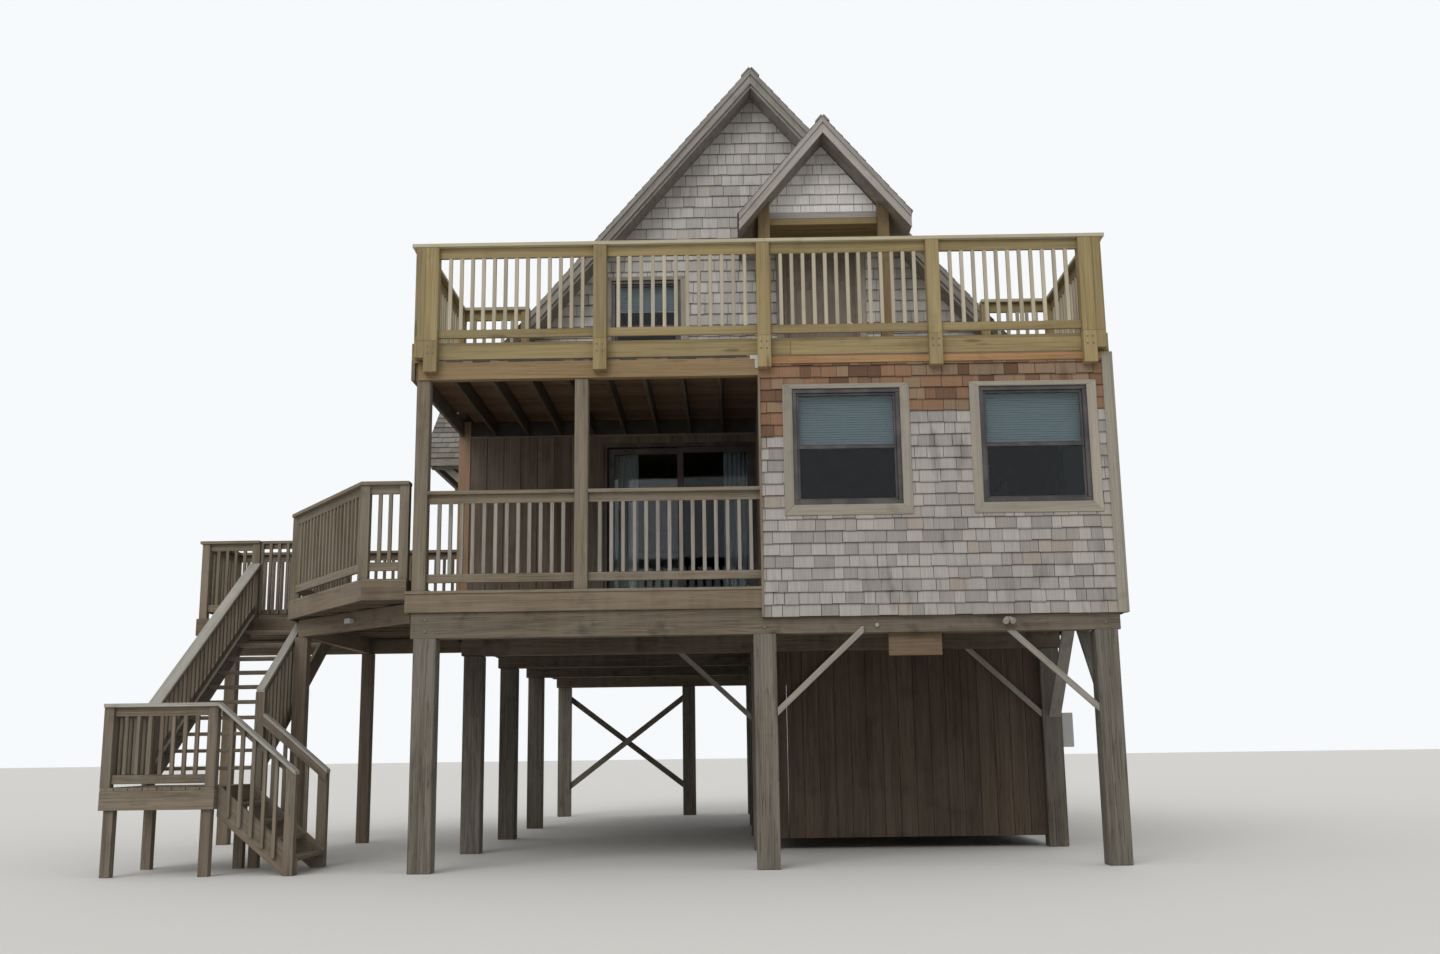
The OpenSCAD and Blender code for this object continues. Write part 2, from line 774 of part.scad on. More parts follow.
module sliding_panel() color("saddlebrown")
    translate([slider_x0 + frame_w + run_gap, moving_y, slider_z0 + run_gap]) {
        panel_border(panel_w, panel_h - 2 * run_gap);
        for (z = [handle_z, handle_z + handle_h - 20])
            block([18, 36], [-28, 0], [z, z + 20]);
        block([18, 36], [-40, -28], [handle_z, handle_z + handle_h]);
    }

module sliding_glass() color("lightsteelblue")
    translate([slider_x0 + frame_w + run_gap, moving_y, slider_z0 + run_gap])
        panel_glass(panel_w, panel_h - 2 * run_gap);

curtain_w = 330;
curtain_t = 60;
pelmet_h = 80;
pelmet_d = 100;

module curtains() color("white") {
    wall_face = main_y + wall_t;
    top = floor_z + slider_h;
    block([slider_x0, bay_x], [wall_face, wall_face + pelmet_d], [top, top + pelmet_h]);
    for (x = [slider_x0 + frame_w + 40, bay_x - frame_w - 40 - curtain_w])
        block([x, x + curtain_w], [wall_face + 40, wall_face + 40 + curtain_t],
              [floor_z + 30, top]);
}

// Plain door leaf with its frame, drawn along X with the wall's outer face at Y 0
module plain_door(x, z) {
    x0 = x - leaf_w / 2;
    difference() {
        block([x0 - frame_w, x0 + leaf_w + frame_w], [0, wall_t], [z, z + leaf_h + frame_w]);
        block([x0, x0 + leaf_w], [-1, wall_t + 1], [z - 1, z + leaf_h]);
    }
    block([x0, x0 + leaf_w], [40, 40 + panel_t], [z, z + leaf_h]);
}

module entry_door() color("saddlebrown") at_left() plain_door(-(front + entry_y), left_z);
module upper_door() color("saddlebrown") at_main() plain_door(gablet_x, deck_z);

corner_post_x = -half_w + porch_post_inset + porch_post / 2;
porch_line = front + 20 + porch_post / 2;

module porch_posts() color("gray")
    for (x = [corner_post_x, bay_x - mid_post_x])
        block([x - porch_post / 2, x + porch_post / 2],
              [front + 20, front + 20 + porch_post], [floor_z, ceiling_z]);

module porch_rail() color("gray") {
    stops = [corner_post_x + porch_post / 2, bay_x - mid_post_x - porch_post / 2,
             bay_x - mid_post_x + porch_post / 2, bay_x];
    for (i = [0, 2])
        translate([stops[i], porch_line, floor_z]) {
            rail_panel(stops[i + 1] - stops[i], porch_rail_h, porch_top_h, porch_gap);
            cap_board(stops[i + 1] - stops[i], porch_rail_h);
        }
}

module porch_roof_frame() color("tan") {
    beam_t = 100;
    z = [ceiling_z, plate_z];
    block([-half_w, bay_x], [front, front + beam_t], z);
    for (x = [-half_w + board_t : porch_joist_pitch : bay_x - board_t])
        block([x - board_t / 2, x + board_t / 2], [front + beam_t, main_y], z);
    for (x = [bay_x + wall_t + porch_joist_pitch / 2 : porch_joist_pitch : half_w - wall_t - board_t])
        block([x - board_t / 2, x + board_t / 2], [front + wall_t, main_y], z);
}

deck_back = front + rear_rail_y + rail_post / 2;
strip_x = half_w - wall_t - 20;
board_strip_x = strip_x - 60;

module porch_ceiling() color("peru") {
    block([-half_w, half_w], [front, deck_back], [plate_z, rim_z]);
    block([-strip_x, strip_x], [deck_back, main_y], [plate_z, rim_z]);
}

module roof_deck_frame() color("darkkhaki") {
    z = [rim_z, deck_under];
    block([-half_w, half_w], [front, front + board_t], z);
    for (s = [-1, 1])
        block([s > 0 ? half_w - board_t : -half_w, s > 0 ? half_w : -half_w + board_t],
              [front, deck_back], z);
    block([-half_w, half_w], [deck_back - board_t, deck_back], z);
    for (x = [-board_strip_x : joist_pitch : board_strip_x])
        block([x - board_t / 2, x + board_t / 2], [front + board_t / 2, main_y], z);
}

module roof_deck_boards() color("darkkhaki") {
    block([-half_w, half_w], [front, deck_back], [deck_under, deck_z]);
    block([-board_strip_x, board_strip_x], [deck_back, main_y], [deck_under, deck_z]);
}

// Posts of the roof deck's rail, let in over the edge of the deck
post_in = rail_post - post_proud;
front_posts = [-half_w + end_post_in, post_b, post_c, post_d, half_w - end_post_in];

// Post over the width x, drawn with the deck's edge at Y 0, standing out to minus Y
module notched_post(x, drop) {
    block(x, [-post_proud, post_in], [0, rail_h - cap_t]);
    block(x, [-post_proud, 0], [-drop, 0]);
}

module roof_deck_posts() color("darkkhaki") {
    corner = [half_w - end_post_in + rail_post / 2, half_w - corner_in];
    translate([0, front, deck_z]) {
        for (x = front_posts)
            notched_post([x - rail_post / 2, x + rail_post / 2], post_drop);
        for (s = [0, 1])
            mirror([s, 0, 0]) notched_post(corner, rim_h + deck_t);
    }
    for (s = [-1, 1]) {
        translate([s * (half_w - rail_post / 2), front + rear_rail_y, deck_z])
            block([-rail_post / 2, rail_post / 2], [-rail_post / 2, rail_post / 2],
                  [0, rail_h - cap_t]);
        translate([s * (half_w - rear_rail_len - rail_post / 2), front + rear_rail_y, deck_z])
            block([-small_post / 2, small_post / 2], [-small_post / 2, small_post / 2],
                  [0, rail_h - cap_t]);
    }
}

rail_line = front - post_proud + rail_post / 2;

module roof_deck_front_rail() color("darkkhaki") {
    for (i = [0 : len(front_posts) - 2])
        translate([front_posts[i] + rail_post / 2, rail_line, deck_z])
            rail_panel(front_posts[i + 1] - front_posts[i] - rail_post, rail_h, top_rail_h,
                       bottom_gap);
    translate([-half_w, rail_line, deck_z]) cap_board(house_w, rail_h);
}

module roof_deck_side_rails() color("darkkhaki") {
    side_x = half_w - rail_post / 2;
    side_len = rear_rail_y - rail_post / 2 - post_in;
    inner = rear_rail_len - rail_post / 2 - small_post / 2;
    for (s = [-1, 1]) {
        translate([s * side_x, front + post_in, deck_z]) rotate([0, 0, 90])
            rail_panel(side_len, rail_h, top_rail_h, bottom_gap);
        translate([s * side_x, rail_line + cap_w / 2, deck_z]) rotate([0, 0, 90])
            cap_board(front + rear_rail_y + cap_w / 2 - rail_line - cap_w / 2, rail_h);
        translate([s > 0 ? half_w - rail_post - inner : -half_w + rail_post,
                   front + rear_rail_y, deck_z])
            rail_panel(inner, rail_h, top_rail_h, bottom_gap);
        translate([s > 0 ? half_w - rear_rail_len - rail_post / 2 - small_post / 2
                         : -half_w + rail_post / 2 + cap_w / 2,
                   front + rear_rail_y, deck_z])
            cap_board(rear_rail_len + small_post / 2 - cap_w / 2, rail_h);
    }
}

// One slope of the main roof, on the right
module roof_slope()
    along_y(rake_front, rake_back)
        polygon([[0, ridge_z], [eave_x, roof_top(eave_x)], [eave_x, roof_top(eave_x) - roof_drop],
                 [0, ridge_z - roof_drop]]);

module main_roof_right() color("gray") roof_slope();
module main_roof_left() color("gray") mirror([1, 0, 0]) roof_slope();

// Small gable on the roof deck
gablet_under = deck_z + leaf_h + gablet_ceiling_t;
gablet_drop = gablet_t / cos(gablet_angle);
gablet_half = gablet_w / 2;
gablet_y = front + gablet_front;
gablet_post_y = gablet_y + gablet_overhang;
gablet_ridge = gablet_under + gablet_rise;
gablet_cut = 100;
function gablet_low(x) = gablet_ridge - gablet_drop - tan(gablet_angle) * abs(x);

module gablet_roof() color("gray")
    difference() {
        translate([gablet_x, 0, 0]) along_y(gablet_y, main_y)
            polygon([[0, gablet_ridge], [gablet_half, gablet_ridge - tan(gablet_angle) * gablet_half],
                     [gablet_half, gablet_low(gablet_half)], [0, gablet_low(0)],
                     [-gablet_half, gablet_low(gablet_half)],
                     [-gablet_half, gablet_ridge - tan(gablet_angle) * gablet_half]]);
        along_y(rake_front, main_y + 1)
            polygon([[0, ridge_z], [eave_x, roof_top(eave_x)],
                     [eave_x, roof_under(eave_x) - gablet_cut],
                     [0, roof_under(0) - gablet_cut]]);
    }

gablet_out = gablet_clear / 2 + gablet_post;
pediment_t = 60;

module gablet_front() color("silver")
    translate([gablet_x, 0, 0])
        along_y(gablet_post_y + gablet_post, gablet_post_y + gablet_post + pediment_t)
            polygon([[-gablet_out, gablet_under], [gablet_out, gablet_under],
                     [gablet_out, gablet_low(gablet_out)], [0, gablet_low(0)],
                     [-gablet_out, gablet_low(gablet_out)]]);

module gablet_frame() color("peru") {
    inner = gablet_clear / 2;
    back_face = gablet_post_y + gablet_post;
    ceiling_low = gablet_under - gablet_ceiling_t;
    difference() {
        translate([gablet_x, 0, 0]) {
            for (s = [0, 1])
                mirror([s, 0, 0]) along_y(gablet_post_y, back_face)
                    polygon([[inner, deck_z], [gablet_out, deck_z],
                             [gablet_out, gablet_low(gablet_out)], [inner, gablet_low(inner)]]);
            block([-gablet_out, gablet_out], [back_face, main_y], [ceiling_low, gablet_under]);
            block([-inner, inner], [back_face - board_t, back_face],
                  [ceiling_low, gablet_under + 2 * gablet_ceiling_t]);
        }
        along_y(rake_front, main_y + 1)
            polygon([[0, ridge_z], [eave_x, roof_top(eave_x)], [eave_x, roof_under(eave_x)],
                     [0, roof_under(0)]]);
    }
}

// Canopy over the side door: two slopes, a closed end and two brackets
canopy_y = front + entry_y;
canopy_half = canopy_w / 2;
canopy_drop = canopy_t / cos(canopy_angle);
canopy_eave_z = floor_z + canopy_eave;
canopy_ridge = canopy_eave_z + canopy_half * tan(canopy_angle);

canopy_under = canopy_eave_z - canopy_drop;
canopy_in = 60;
canopy_end_t = 50;
bracket_w = 90;
bracket_fall = 420;
bracket_reach = 450;

module entry_canopy() color("gray") {
    out_x = -half_w - canopy_out;
    end_half = canopy_half - canopy_in;
    lap = 10;
    difference() {
        translate([0, canopy_y, 0]) along_x(out_x, 0)
            polygon([[0, canopy_ridge], [canopy_half, canopy_eave_z], [canopy_half, canopy_under],
                     [0, canopy_ridge - canopy_drop], [-canopy_half, canopy_under],
                     [-canopy_half, canopy_eave_z]]);
        mirror([1, 0, 0]) along_y(rake_front - 1, rake_back + 1)
            polygon([[0, ridge_z], [eave_x, roof_top(eave_x)], [eave_x, roof_under(eave_x)],
                     [half_w, plate_z], [half_w, floor_z], [0, floor_z]]);
        block([-half_w, 1], [rake_front, rake_back], [floor_z, plate_z]);
    }
    translate([0, canopy_y, lap]) along_x(out_x + canopy_in, out_x + canopy_in + canopy_end_t)
        polygon([[-end_half, canopy_under - lap], [end_half, canopy_under - lap],
                 [end_half, canopy_under + canopy_in * tan(canopy_angle)],
                 [0, canopy_ridge - canopy_drop],
                 [-end_half, canopy_under + canopy_in * tan(canopy_angle)]]);
    for (s = [-1, 1])
        translate([0, canopy_y + s * (end_half - bracket_w), 0])
            along_y(-bracket_w / 2, bracket_w / 2) {
                polygon([[-half_w, canopy_under - bracket_fall],
                         [-half_w, canopy_under - bracket_fall + 1.4 * bracket_w],
                         [-half_w - bracket_reach + 1.4 * bracket_w, canopy_under],
                         [-half_w - bracket_reach, canopy_under]]);
                polygon([[-half_w, canopy_under - 20], [out_x + canopy_in, canopy_under - 20],
                         [out_x + canopy_in, canopy_under + 40], [-half_w, canopy_under + 40]]);
            }
}

// Left deck
module left_deck_boards() color("gray")
    translate([0, 0, left_z - deck_t]) linear_extrude(deck_t) polygon(deck_points);

left_frame_z = left_z - deck_t - joist_h;
left_joist_at = 300;
left_joist_pitch = 400;

// Outer edge of the left deck at a distance back
function left_edge(y) =
    y < front + left_in + left_slant
        ? -half_w - left_front - (y - front - left_in) * (left_out - left_front) / left_slant
        : -half_w - (y < head_y ? left_out : walk_out);

module left_deck_frame() color("gray")
    translate([0, 0, left_frame_z]) {
        right = -half_w - board_t / 2;
        difference() {
            linear_extrude(joist_h) polygon(deck_points);
            translate([0, 0, -1]) linear_extrude(joist_h + 2) polygon(inset(deck_points, board_t));
        }
        for (y = [front + left_in + left_joist_at : left_joist_pitch : head_y + walk_depth - 2 * board_t])
            linear_extrude(joist_h)
                polygon([[left_edge(y) + board_t / 2, y], [right, y], [right, y + board_t],
                         [left_edge(y + board_t) + board_t / 2, y + board_t]]);
    }

module left_deck_legs() color("gray") {
    leg_x = -half_w - left_out + small_post + deck_leg / 2;
    leg_a = [leg_x, front + left_slant + 100];
    leg_y = head_y + walk_depth - 250;
    corner = [-half_w + 40, pile_rows[0] + pile];
    under = left_frame_z - deck_beam_h;
    beam_w = 90;
    for (p = [leg_a, [leg_x, leg_y], [-half_w - walk_out + deck_leg, leg_y]])
        block([p[0] - deck_leg / 2, p[0] + deck_leg / 2], [p[1] - deck_leg / 2, p[1] + deck_leg / 2],
              [0, under]);
    difference() {
        translate([0, 0, under]) {
            on_line(leg_a, corner)
                block([-beam_w / 2, span(leg_a, corner)], [-beam_w / 2, beam_w / 2],
                      [0, deck_beam_h]);
            block([leg_x - beam_w / 2, leg_x + beam_w / 2], [leg_a[1], leg_y], [0, deck_beam_h]);
            block([-half_w - walk_out + deck_leg / 2, -half_w], [leg_y - beam_w / 2, leg_y + beam_w / 2],
                  [0, deck_beam_h]);
        }
        block([-half_w, 0], [front, main_y], [under - 1, left_frame_z + 1]);
    }
}

half_post = small_post / 2;
gate_y = head_y + half_post;
rail_right_x = flight_right - stair_rail_in;
rail_left_x = flight_left + stair_rail_in;
rail_points = [
    [-half_w - half_post, front + left_in + rail_in],
    [-half_w - left_front, front + left_in + rail_in],
    [-half_w - left_out + rail_in, front + left_in + left_slant],
    [-half_w - left_out + rail_in, gate_y],
    [rail_right_x, gate_y],
    [rail_left_x, gate_y],
    [-half_w - walk_out + rail_in, gate_y],
    [-half_w - walk_out + rail_in, head_y + walk_depth - rail_in],
    [-half_w - half_post, head_y + walk_depth - rail_in]
];
railed_edges = [0, 1, 2, 5, 6, 7];
post_lap = 20;
cap_lap = 10;

// Lines of the two cap boards, in front of the gate and behind it
front_caps = [[-half_w, rail_points[0][1]], rail_points[1], rail_points[2], rail_points[3],
              [rail_right_x - half_post, gate_y]];
rear_caps = [[rail_left_x + half_post, gate_y], rail_points[6], rail_points[7],
             [-half_w, rail_points[8][1]]];

module left_deck_rails() color("gray") {
    strap_y = gate_y + half_post;
    for (p = rail_points)
        block([p[0] - half_post, p[0] + half_post], [p[1] - half_post, p[1] + half_post],
              [left_z, left_z + left_rail_h - cap_t + cap_lap]);
    for (i = railed_edges)
        let (a = rail_points[i], b = rail_points[i + 1])
            translate([0, 0, left_z]) on_line(a, b) translate([half_post - post_lap, 0, 0])
                rail_panel(span(a, b) - small_post + 2 * post_lap, left_rail_h + cap_lap,
                           porch_top_h + cap_lap, porch_gap);
    for (line = [front_caps, rear_caps])
        translate([0, 0, left_z + left_rail_h - cap_t])
            linear_extrude(cap_t) polygon(strip_outline(line, cap_w));
    for (z = hinge_zs)
        for (k = [-1, 1])
            translate([0, 0, z + k * (barrel_l + hinge_gap) - barrel_l / 2]) {
                translate([hinge_x, hinge_y, 0]) cylinder(r = barrel_r, h = barrel_l);
                block([hinge_x, hinge_x + strap_l], [strap_y, strap_y + strap_t], [0, barrel_l]);
            }
}

// Gate at the head of the stair, hung on the newel at the right
gate_clear = 6;
hinge_gap = 0.3;
strap_l = 50;
gate_strap_l = 160;
hinge_x = rail_right_x - half_post - gate_clear / 2;
hinge_y = gate_y + half_post + barrel_r + 1;
hinge_zs = [left_z + 0.2 * left_rail_h, left_z + 0.8 * left_rail_h];
gate_x0 = rail_left_x + half_post + gate_clear;
gate_x1 = rail_right_x - half_post - gate_clear;
gate_top = left_z + left_rail_h;
gate_rail_h = 64;

module stair_gate() color("gray") {
    w = gate_x1 - gate_x0;
    rear = gate_y + half_post;
    low = left_z + gate_gap;
    high = gate_top - cap_t;
    count = round(w / baluster_pitch) - 1;
    block([gate_x0, gate_x1], [rear - gate_top_w, rear], [high, gate_top]);
    block([gate_x0, gate_x1], [rear - board_t, rear], [low, low + gate_rail_h]);
    block([gate_x0, gate_x1], [rear - board_t, rear], [high - gate_rail_h, high]);
    for (i = [0 : count + 1])
        let (x = gate_x0 + baluster / 2 + i * (w - baluster) / (count + 1))
            block([x - baluster / 2, x + baluster / 2], [rear - board_t - baluster, rear - board_t],
                  [low, high]);
    for (z = hinge_zs) {
        translate([hinge_x, hinge_y, z - barrel_l / 2]) cylinder(r = barrel_r, h = barrel_l);
        block([hinge_x - gate_strap_l, hinge_x], [rear, rear + strap_t],
              [z - barrel_l / 2, z + barrel_l / 2]);
        block([hinge_x - gate_strap_l, gate_x1], [rear - board_t, rear],
              [z - barrel_l / 2, z + barrel_l / 2]);
    }
}

// Stair
string_over = 20;
upper_slope = upper_rise / upper_going;
lower_slope = lower_rise / lower_going;
upper_depth = string_h * sqrt(1 + upper_slope * upper_slope);
lower_depth = string_h * sqrt(1 + lower_slope * lower_slope);
rail_lap = 5;
rear_line_in = 20;
newel_in = 60;
front_rail_y = landing_front + half_post;
left_post_y = landing_back - small_post;
rear_line_y = landing_back - rear_line_in;
lower_string_ys = [front_rail_y + half_post, rear_line_y - half_post - board_t];
newel_end = lower_run - newel_in + half_post;

module upper_string(x)
    along_x(x, x + board_t)
        polygon([[head_y, left_z + string_over], [head_y, left_z + string_over - upper_depth],
                 [landing_back, landing_z + upper_rise + string_over - upper_depth],
                 [landing_back, landing_z + upper_rise + string_over]]);

module lower_string(y) {
    top = landing_z + string_over;
    along_y(y, y + board_t)
        polygon([[landing_right, top], [foot_x, top - lower_slope * lower_run], [foot_x, 0],
                 [landing_right + (top - lower_depth) / lower_slope, 0],
                 [landing_right, top - lower_depth]]);
}

module stair_strings() color("gray") {
    upper_string(flight_left);
    upper_string(flight_right - board_t);
    for (y = lower_string_ys) lower_string(y);
}

module stair_treads() color("gray") {
    for (i = [1 : upper_risers - 1])
        block([flight_left + board_t, flight_right - board_t],
              [head_y - i * upper_going, head_y - (i - 1) * upper_going - 20],
              [left_z - i * upper_rise - tread_t, left_z - i * upper_rise]);
    for (i = [1 : lower_risers - 1])
        block([landing_right + (i - 1) * lower_going + 5, landing_right + i * lower_going - 5],
              [lower_string_ys[0] + board_t, lower_string_ys[1]],
              [landing_z - i * lower_rise - tread_t, landing_z - i * lower_rise]);
}

module stair_landing() color("gray") {
    under = landing_z - deck_t;
    block([landing_left, landing_right], [landing_front, landing_back], [under, landing_z]);
    difference() {
        block([landing_left, landing_right], [landing_front, landing_back], [under - joist_h, under]);
        block([landing_left + board_t, landing_right - board_t],
              [landing_front + board_t, landing_back - board_t], [under - joist_h - 1, under]);
    }
    for (x = [landing_left + board_t, landing_right - board_t - small_post])
        for (y = [landing_front + board_t, landing_back - board_t - small_post])
            block([x, x + small_post], [y, y + small_post], [0, under]);
}

// Left rail of the upper flight: X runs down from the head of the stair, Z is up from the deck
module upper_left_rail() {
    post = [head_y - left_post_y - half_post, head_y - left_post_y + half_post];
    middle = [-board_t / 2, board_t / 2];
    under = stair_rail_h - cap_t;
    low = 0.22 * stair_rail_h;
    falling_board([0, post[1]], [-wide_cap_w / 2, wide_cap_w / 2], stair_rail_h, cap_t, upper_slope);
    for (top = [under, low])
        falling_board([0, post[0] + rail_lap], middle, top, bottom_rail_h, upper_slope);
    falling_balusters([0, post[0]], [-baluster / 2, baluster / 2], under - bottom_rail_h / 2,
                      low - bottom_rail_h / 2, upper_slope);
    post_under_cap(post, [-half_post, half_post], landing_z - left_z, under + cap_lap, upper_slope);
}

// Right rail of the upper flight, nailed to the outside of the string and cut under the deck
module upper_right_rail() {
    post = [head_y - rear_line_y - half_post, head_y - rear_line_y + half_post];
    under = right_rail_h - cap_t;
    deck_low = left_frame_z - left_z;
    meet = (right_rail_h - deck_low) / upper_slope;
    first = meet - cap_t / upper_slope;
    nailed = -half_post + baluster;
    along_y(-stair_cap_w / 2, stair_cap_w / 2)
        polygon([[first, deck_low], [meet, deck_low],
                 [post[1], right_rail_h - upper_slope * post[1]],
                 [post[1], under - upper_slope * post[1]]]);
    falling_board([first, post[0] + rail_lap], [nailed - rail_lap, nailed + board_t], under,
                  bottom_rail_h, upper_slope);
    falling_balusters([first, post[0]], [-half_post, nailed], under + cap_t / 2,
                      string_over - upper_depth + baluster_foot, upper_slope);
    post_under_cap(post, [-half_post, half_post], -left_z, under + cap_lap, upper_slope);
}

// Rail of the lower flight from the distance start; its string is on the side of positive Y
module lower_rail(start) {
    newel = [newel_end - small_post, newel_end];
    under = landing_rail_h - cap_t;
    falling_board([start, newel_end], [-wide_cap_w / 2, wide_cap_w / 2], landing_rail_h, cap_t,
                  lower_slope);
    falling_board([start - rail_lap, newel_end], [half_post - rail_lap, half_post + board_t], under,
                  bottom_rail_h, lower_slope);
    falling_balusters([start, newel[0]], [half_post - baluster, half_post], under + cap_t / 2,
                      string_over - lower_depth + baluster_foot, lower_slope);
    post_under_cap(newel, [-half_post, half_post], -landing_z, under + cap_lap, lower_slope);
}

// Level rails on the front and the left of the landing
module landing_rails() {
    side_len = left_post_y - front_rail_y - small_post;
    for (x = [rail_left_x, rail_right_x])
        block([x - half_post, x + half_post], [-half_post, half_post], [0, landing_rail_h - cap_t]);
    translate([rail_left_x + half_post, 0, 0])
        rail_panel(rail_right_x - rail_left_x - small_post, landing_rail_h, porch_top_h, bottom_gap);
    translate([rail_left_x - half_post, 0, 0])
        cap_board(rail_right_x - rail_left_x + small_post, landing_rail_h);
    translate([rail_left_x, half_post, 0]) rotate([0, 0, 90]) {
        rail_panel(side_len, landing_rail_h, porch_top_h, bottom_gap);
        cap_board(side_len + cap_lap, landing_rail_h);
    }
}

module stair_rails() color("gray") {
    translate([0, front_rail_y, landing_z]) landing_rails();
    translate([rail_left_x, head_y, left_z]) rotate([0, 0, -90]) upper_left_rail();
    translate([flight_right + half_post, head_y, left_z]) rotate([0, 0, -90]) upper_right_rail();
    translate([landing_right, front_rail_y, landing_z]) lower_rail(0);
    translate([landing_right, rear_line_y, landing_z]) mirror([0, 1, 0])
        lower_rail(small_post - rail_lap);
}

piles();
girders();
knee_braces();
floor_frame();
interior_floor();
porch_decking();
store_walls();
meter_box();
bay_front_wall();
bay_side_wall();
right_wall();
left_wall();
back_wall();
porch_wall();
wall_over_slider();
front_gable_wall();
back_gable_wall();
upper_floor();
window_frames();
window_trim();
window_glass();
slider_frame();
fixed_panel();
sliding_panel();
sliding_glass();
curtains();
entry_door();
upper_door();
porch_posts();
porch_rail();
porch_roof_frame();
porch_ceiling();
roof_deck_frame();
roof_deck_boards();
roof_deck_posts();
roof_deck_front_rail();
roof_deck_side_rails();
main_roof_left();
main_roof_right();
gablet_roof();
gablet_front();
gablet_frame();
entry_canopy();
left_deck_frame();
left_deck_boards();
left_deck_legs();
left_deck_rails();
stair_gate();
stair_strings();
stair_treads();
stair_landing();
stair_rails();
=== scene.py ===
"""Looks of a shingled beach house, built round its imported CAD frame.

Every length is in metres, in the frame of the part: X runs to the right along
the front, Y runs back through the house and Z is up. The origin is the foot of
the middle front pile.
"""

from __future__ import annotations

import json
import logging
import random
from dataclasses import dataclass
from enum import Enum
from math import ceil, cos, hypot, pi, radians, sin, sqrt, tan
from typing import Any, Callable, Iterable, Sequence

import bpy
from bpy.types import Material, Node, NodeOutputs, NodeSocket, NodeTree, Object, Scene
from mathutils import Matrix, Vector

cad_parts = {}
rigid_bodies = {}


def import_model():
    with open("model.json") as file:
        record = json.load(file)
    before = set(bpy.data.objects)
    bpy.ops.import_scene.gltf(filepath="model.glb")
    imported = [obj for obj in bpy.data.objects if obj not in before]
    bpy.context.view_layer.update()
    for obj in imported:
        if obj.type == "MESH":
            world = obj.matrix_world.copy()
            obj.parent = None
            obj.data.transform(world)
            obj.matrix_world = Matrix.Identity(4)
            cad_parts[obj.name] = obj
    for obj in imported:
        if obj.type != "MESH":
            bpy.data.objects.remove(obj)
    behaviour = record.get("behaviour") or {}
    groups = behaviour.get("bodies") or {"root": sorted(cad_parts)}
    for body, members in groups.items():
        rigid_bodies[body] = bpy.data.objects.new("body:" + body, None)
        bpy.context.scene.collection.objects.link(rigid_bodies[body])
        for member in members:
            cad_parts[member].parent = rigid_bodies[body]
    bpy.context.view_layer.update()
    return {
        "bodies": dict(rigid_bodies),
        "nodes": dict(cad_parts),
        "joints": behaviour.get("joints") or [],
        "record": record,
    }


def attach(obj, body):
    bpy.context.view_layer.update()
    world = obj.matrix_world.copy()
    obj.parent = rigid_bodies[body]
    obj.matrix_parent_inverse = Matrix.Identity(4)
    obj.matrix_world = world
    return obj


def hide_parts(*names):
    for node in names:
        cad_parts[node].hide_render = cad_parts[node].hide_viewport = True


LOG = logging.getLogger("beach_house")

Colour = tuple[float, float, float]
Span = tuple[float, float]
Point2 = tuple[float, float]
Rect = tuple[float, float, float, float]

UP = Vector((0.0, 0.0, 1.0))
X = Vector((1.0, 0.0, 0.0))
Y = Vector((0.0, 1.0, 0.0))

HOUSE = "house"
GRAIN_MAP = "grain"
TONE_MAP = "tone"
END_GRAIN = 0.15
LEAST_AREA = 2e-5


@dataclass(frozen=True)
class Plan:
    """Main lengths of the house, the same as in the part's source."""

    half_w: float = 3.66
    front: float = -0.13
    main_y: float = 2.62
    back: float = 11.92
    wall: float = 0.14
    skirt: float = 0.03
    skirt_z: float = 2.475
    girder_z: float = 2.31
    frame_z: float = 2.57
    board_z: float = 2.76
    floor_z: float = 2.79
    ceiling_z: float = 5.01
    plate_z: float = 5.2
    rim_z: float = 5.225
    deck_under: float = 5.38
    deck_z: float = 5.41
    pile: float = 0.23
    pile_x: float = 3.45
    rear_pile_x: float = 1.17
    rows: tuple[float, ...] = (0.0, 2.69, 5.34, 7.99, 11.77)
    roof_angle: float = radians(49.2)
    roof_t: float = 0.16
    rake_front: float = 2.27
    rake_back: float = 12.27
    eave_x: float = 3.74
    board_t: float = 0.038
    plank_w: float = 0.142
    plank_gap: float = 0.006
    left_z: float = 2.93

    @property
    def roof_drop(self) -> float:
        """Thickness of the main roof measured straight down."""
        return self.roof_t / cos(self.roof_angle)

    @property
    def ridge_z(self) -> float:
        """Height of the main ridge."""
        return self.plate_z + self.roof_drop + self.half_w * tan(self.roof_angle)

    def roof_top(self, x: float) -> float:
        """Height of the top of the main roof at x."""
        return self.ridge_z - tan(self.roof_angle) * abs(x)

    def roof_under(self, x: float) -> float:
        """Height of the underside of the main roof at x."""
        return self.roof_top(x) - self.roof_drop


PLAN = Plan()


# Shader graphs


class Value:
    """A value in a shader tree, which adds and multiplies like a number."""

    def __init__(self, graph: Graph, socket: NodeSocket) -> None:
        """Keeps the socket that gives the value, and its graph."""
        self.graph, self.socket = graph, socket

    def __add__(self, other: Any) -> Value:
        """Sum of two values."""
        return self.graph.maths("ADD", self, other)

    def __sub__(self, other: Any) -> Value:
        """Difference of two values."""
        return self.graph.maths("SUBTRACT", self, other)

    def __mul__(self, other: Any) -> Value:
        """Product of two values."""
        return self.graph.maths("MULTIPLY", self, other)

    def rest(self) -> Value:
        """What the value leaves of 1."""
        return self.graph.maths("SUBTRACT", 1.0, self)


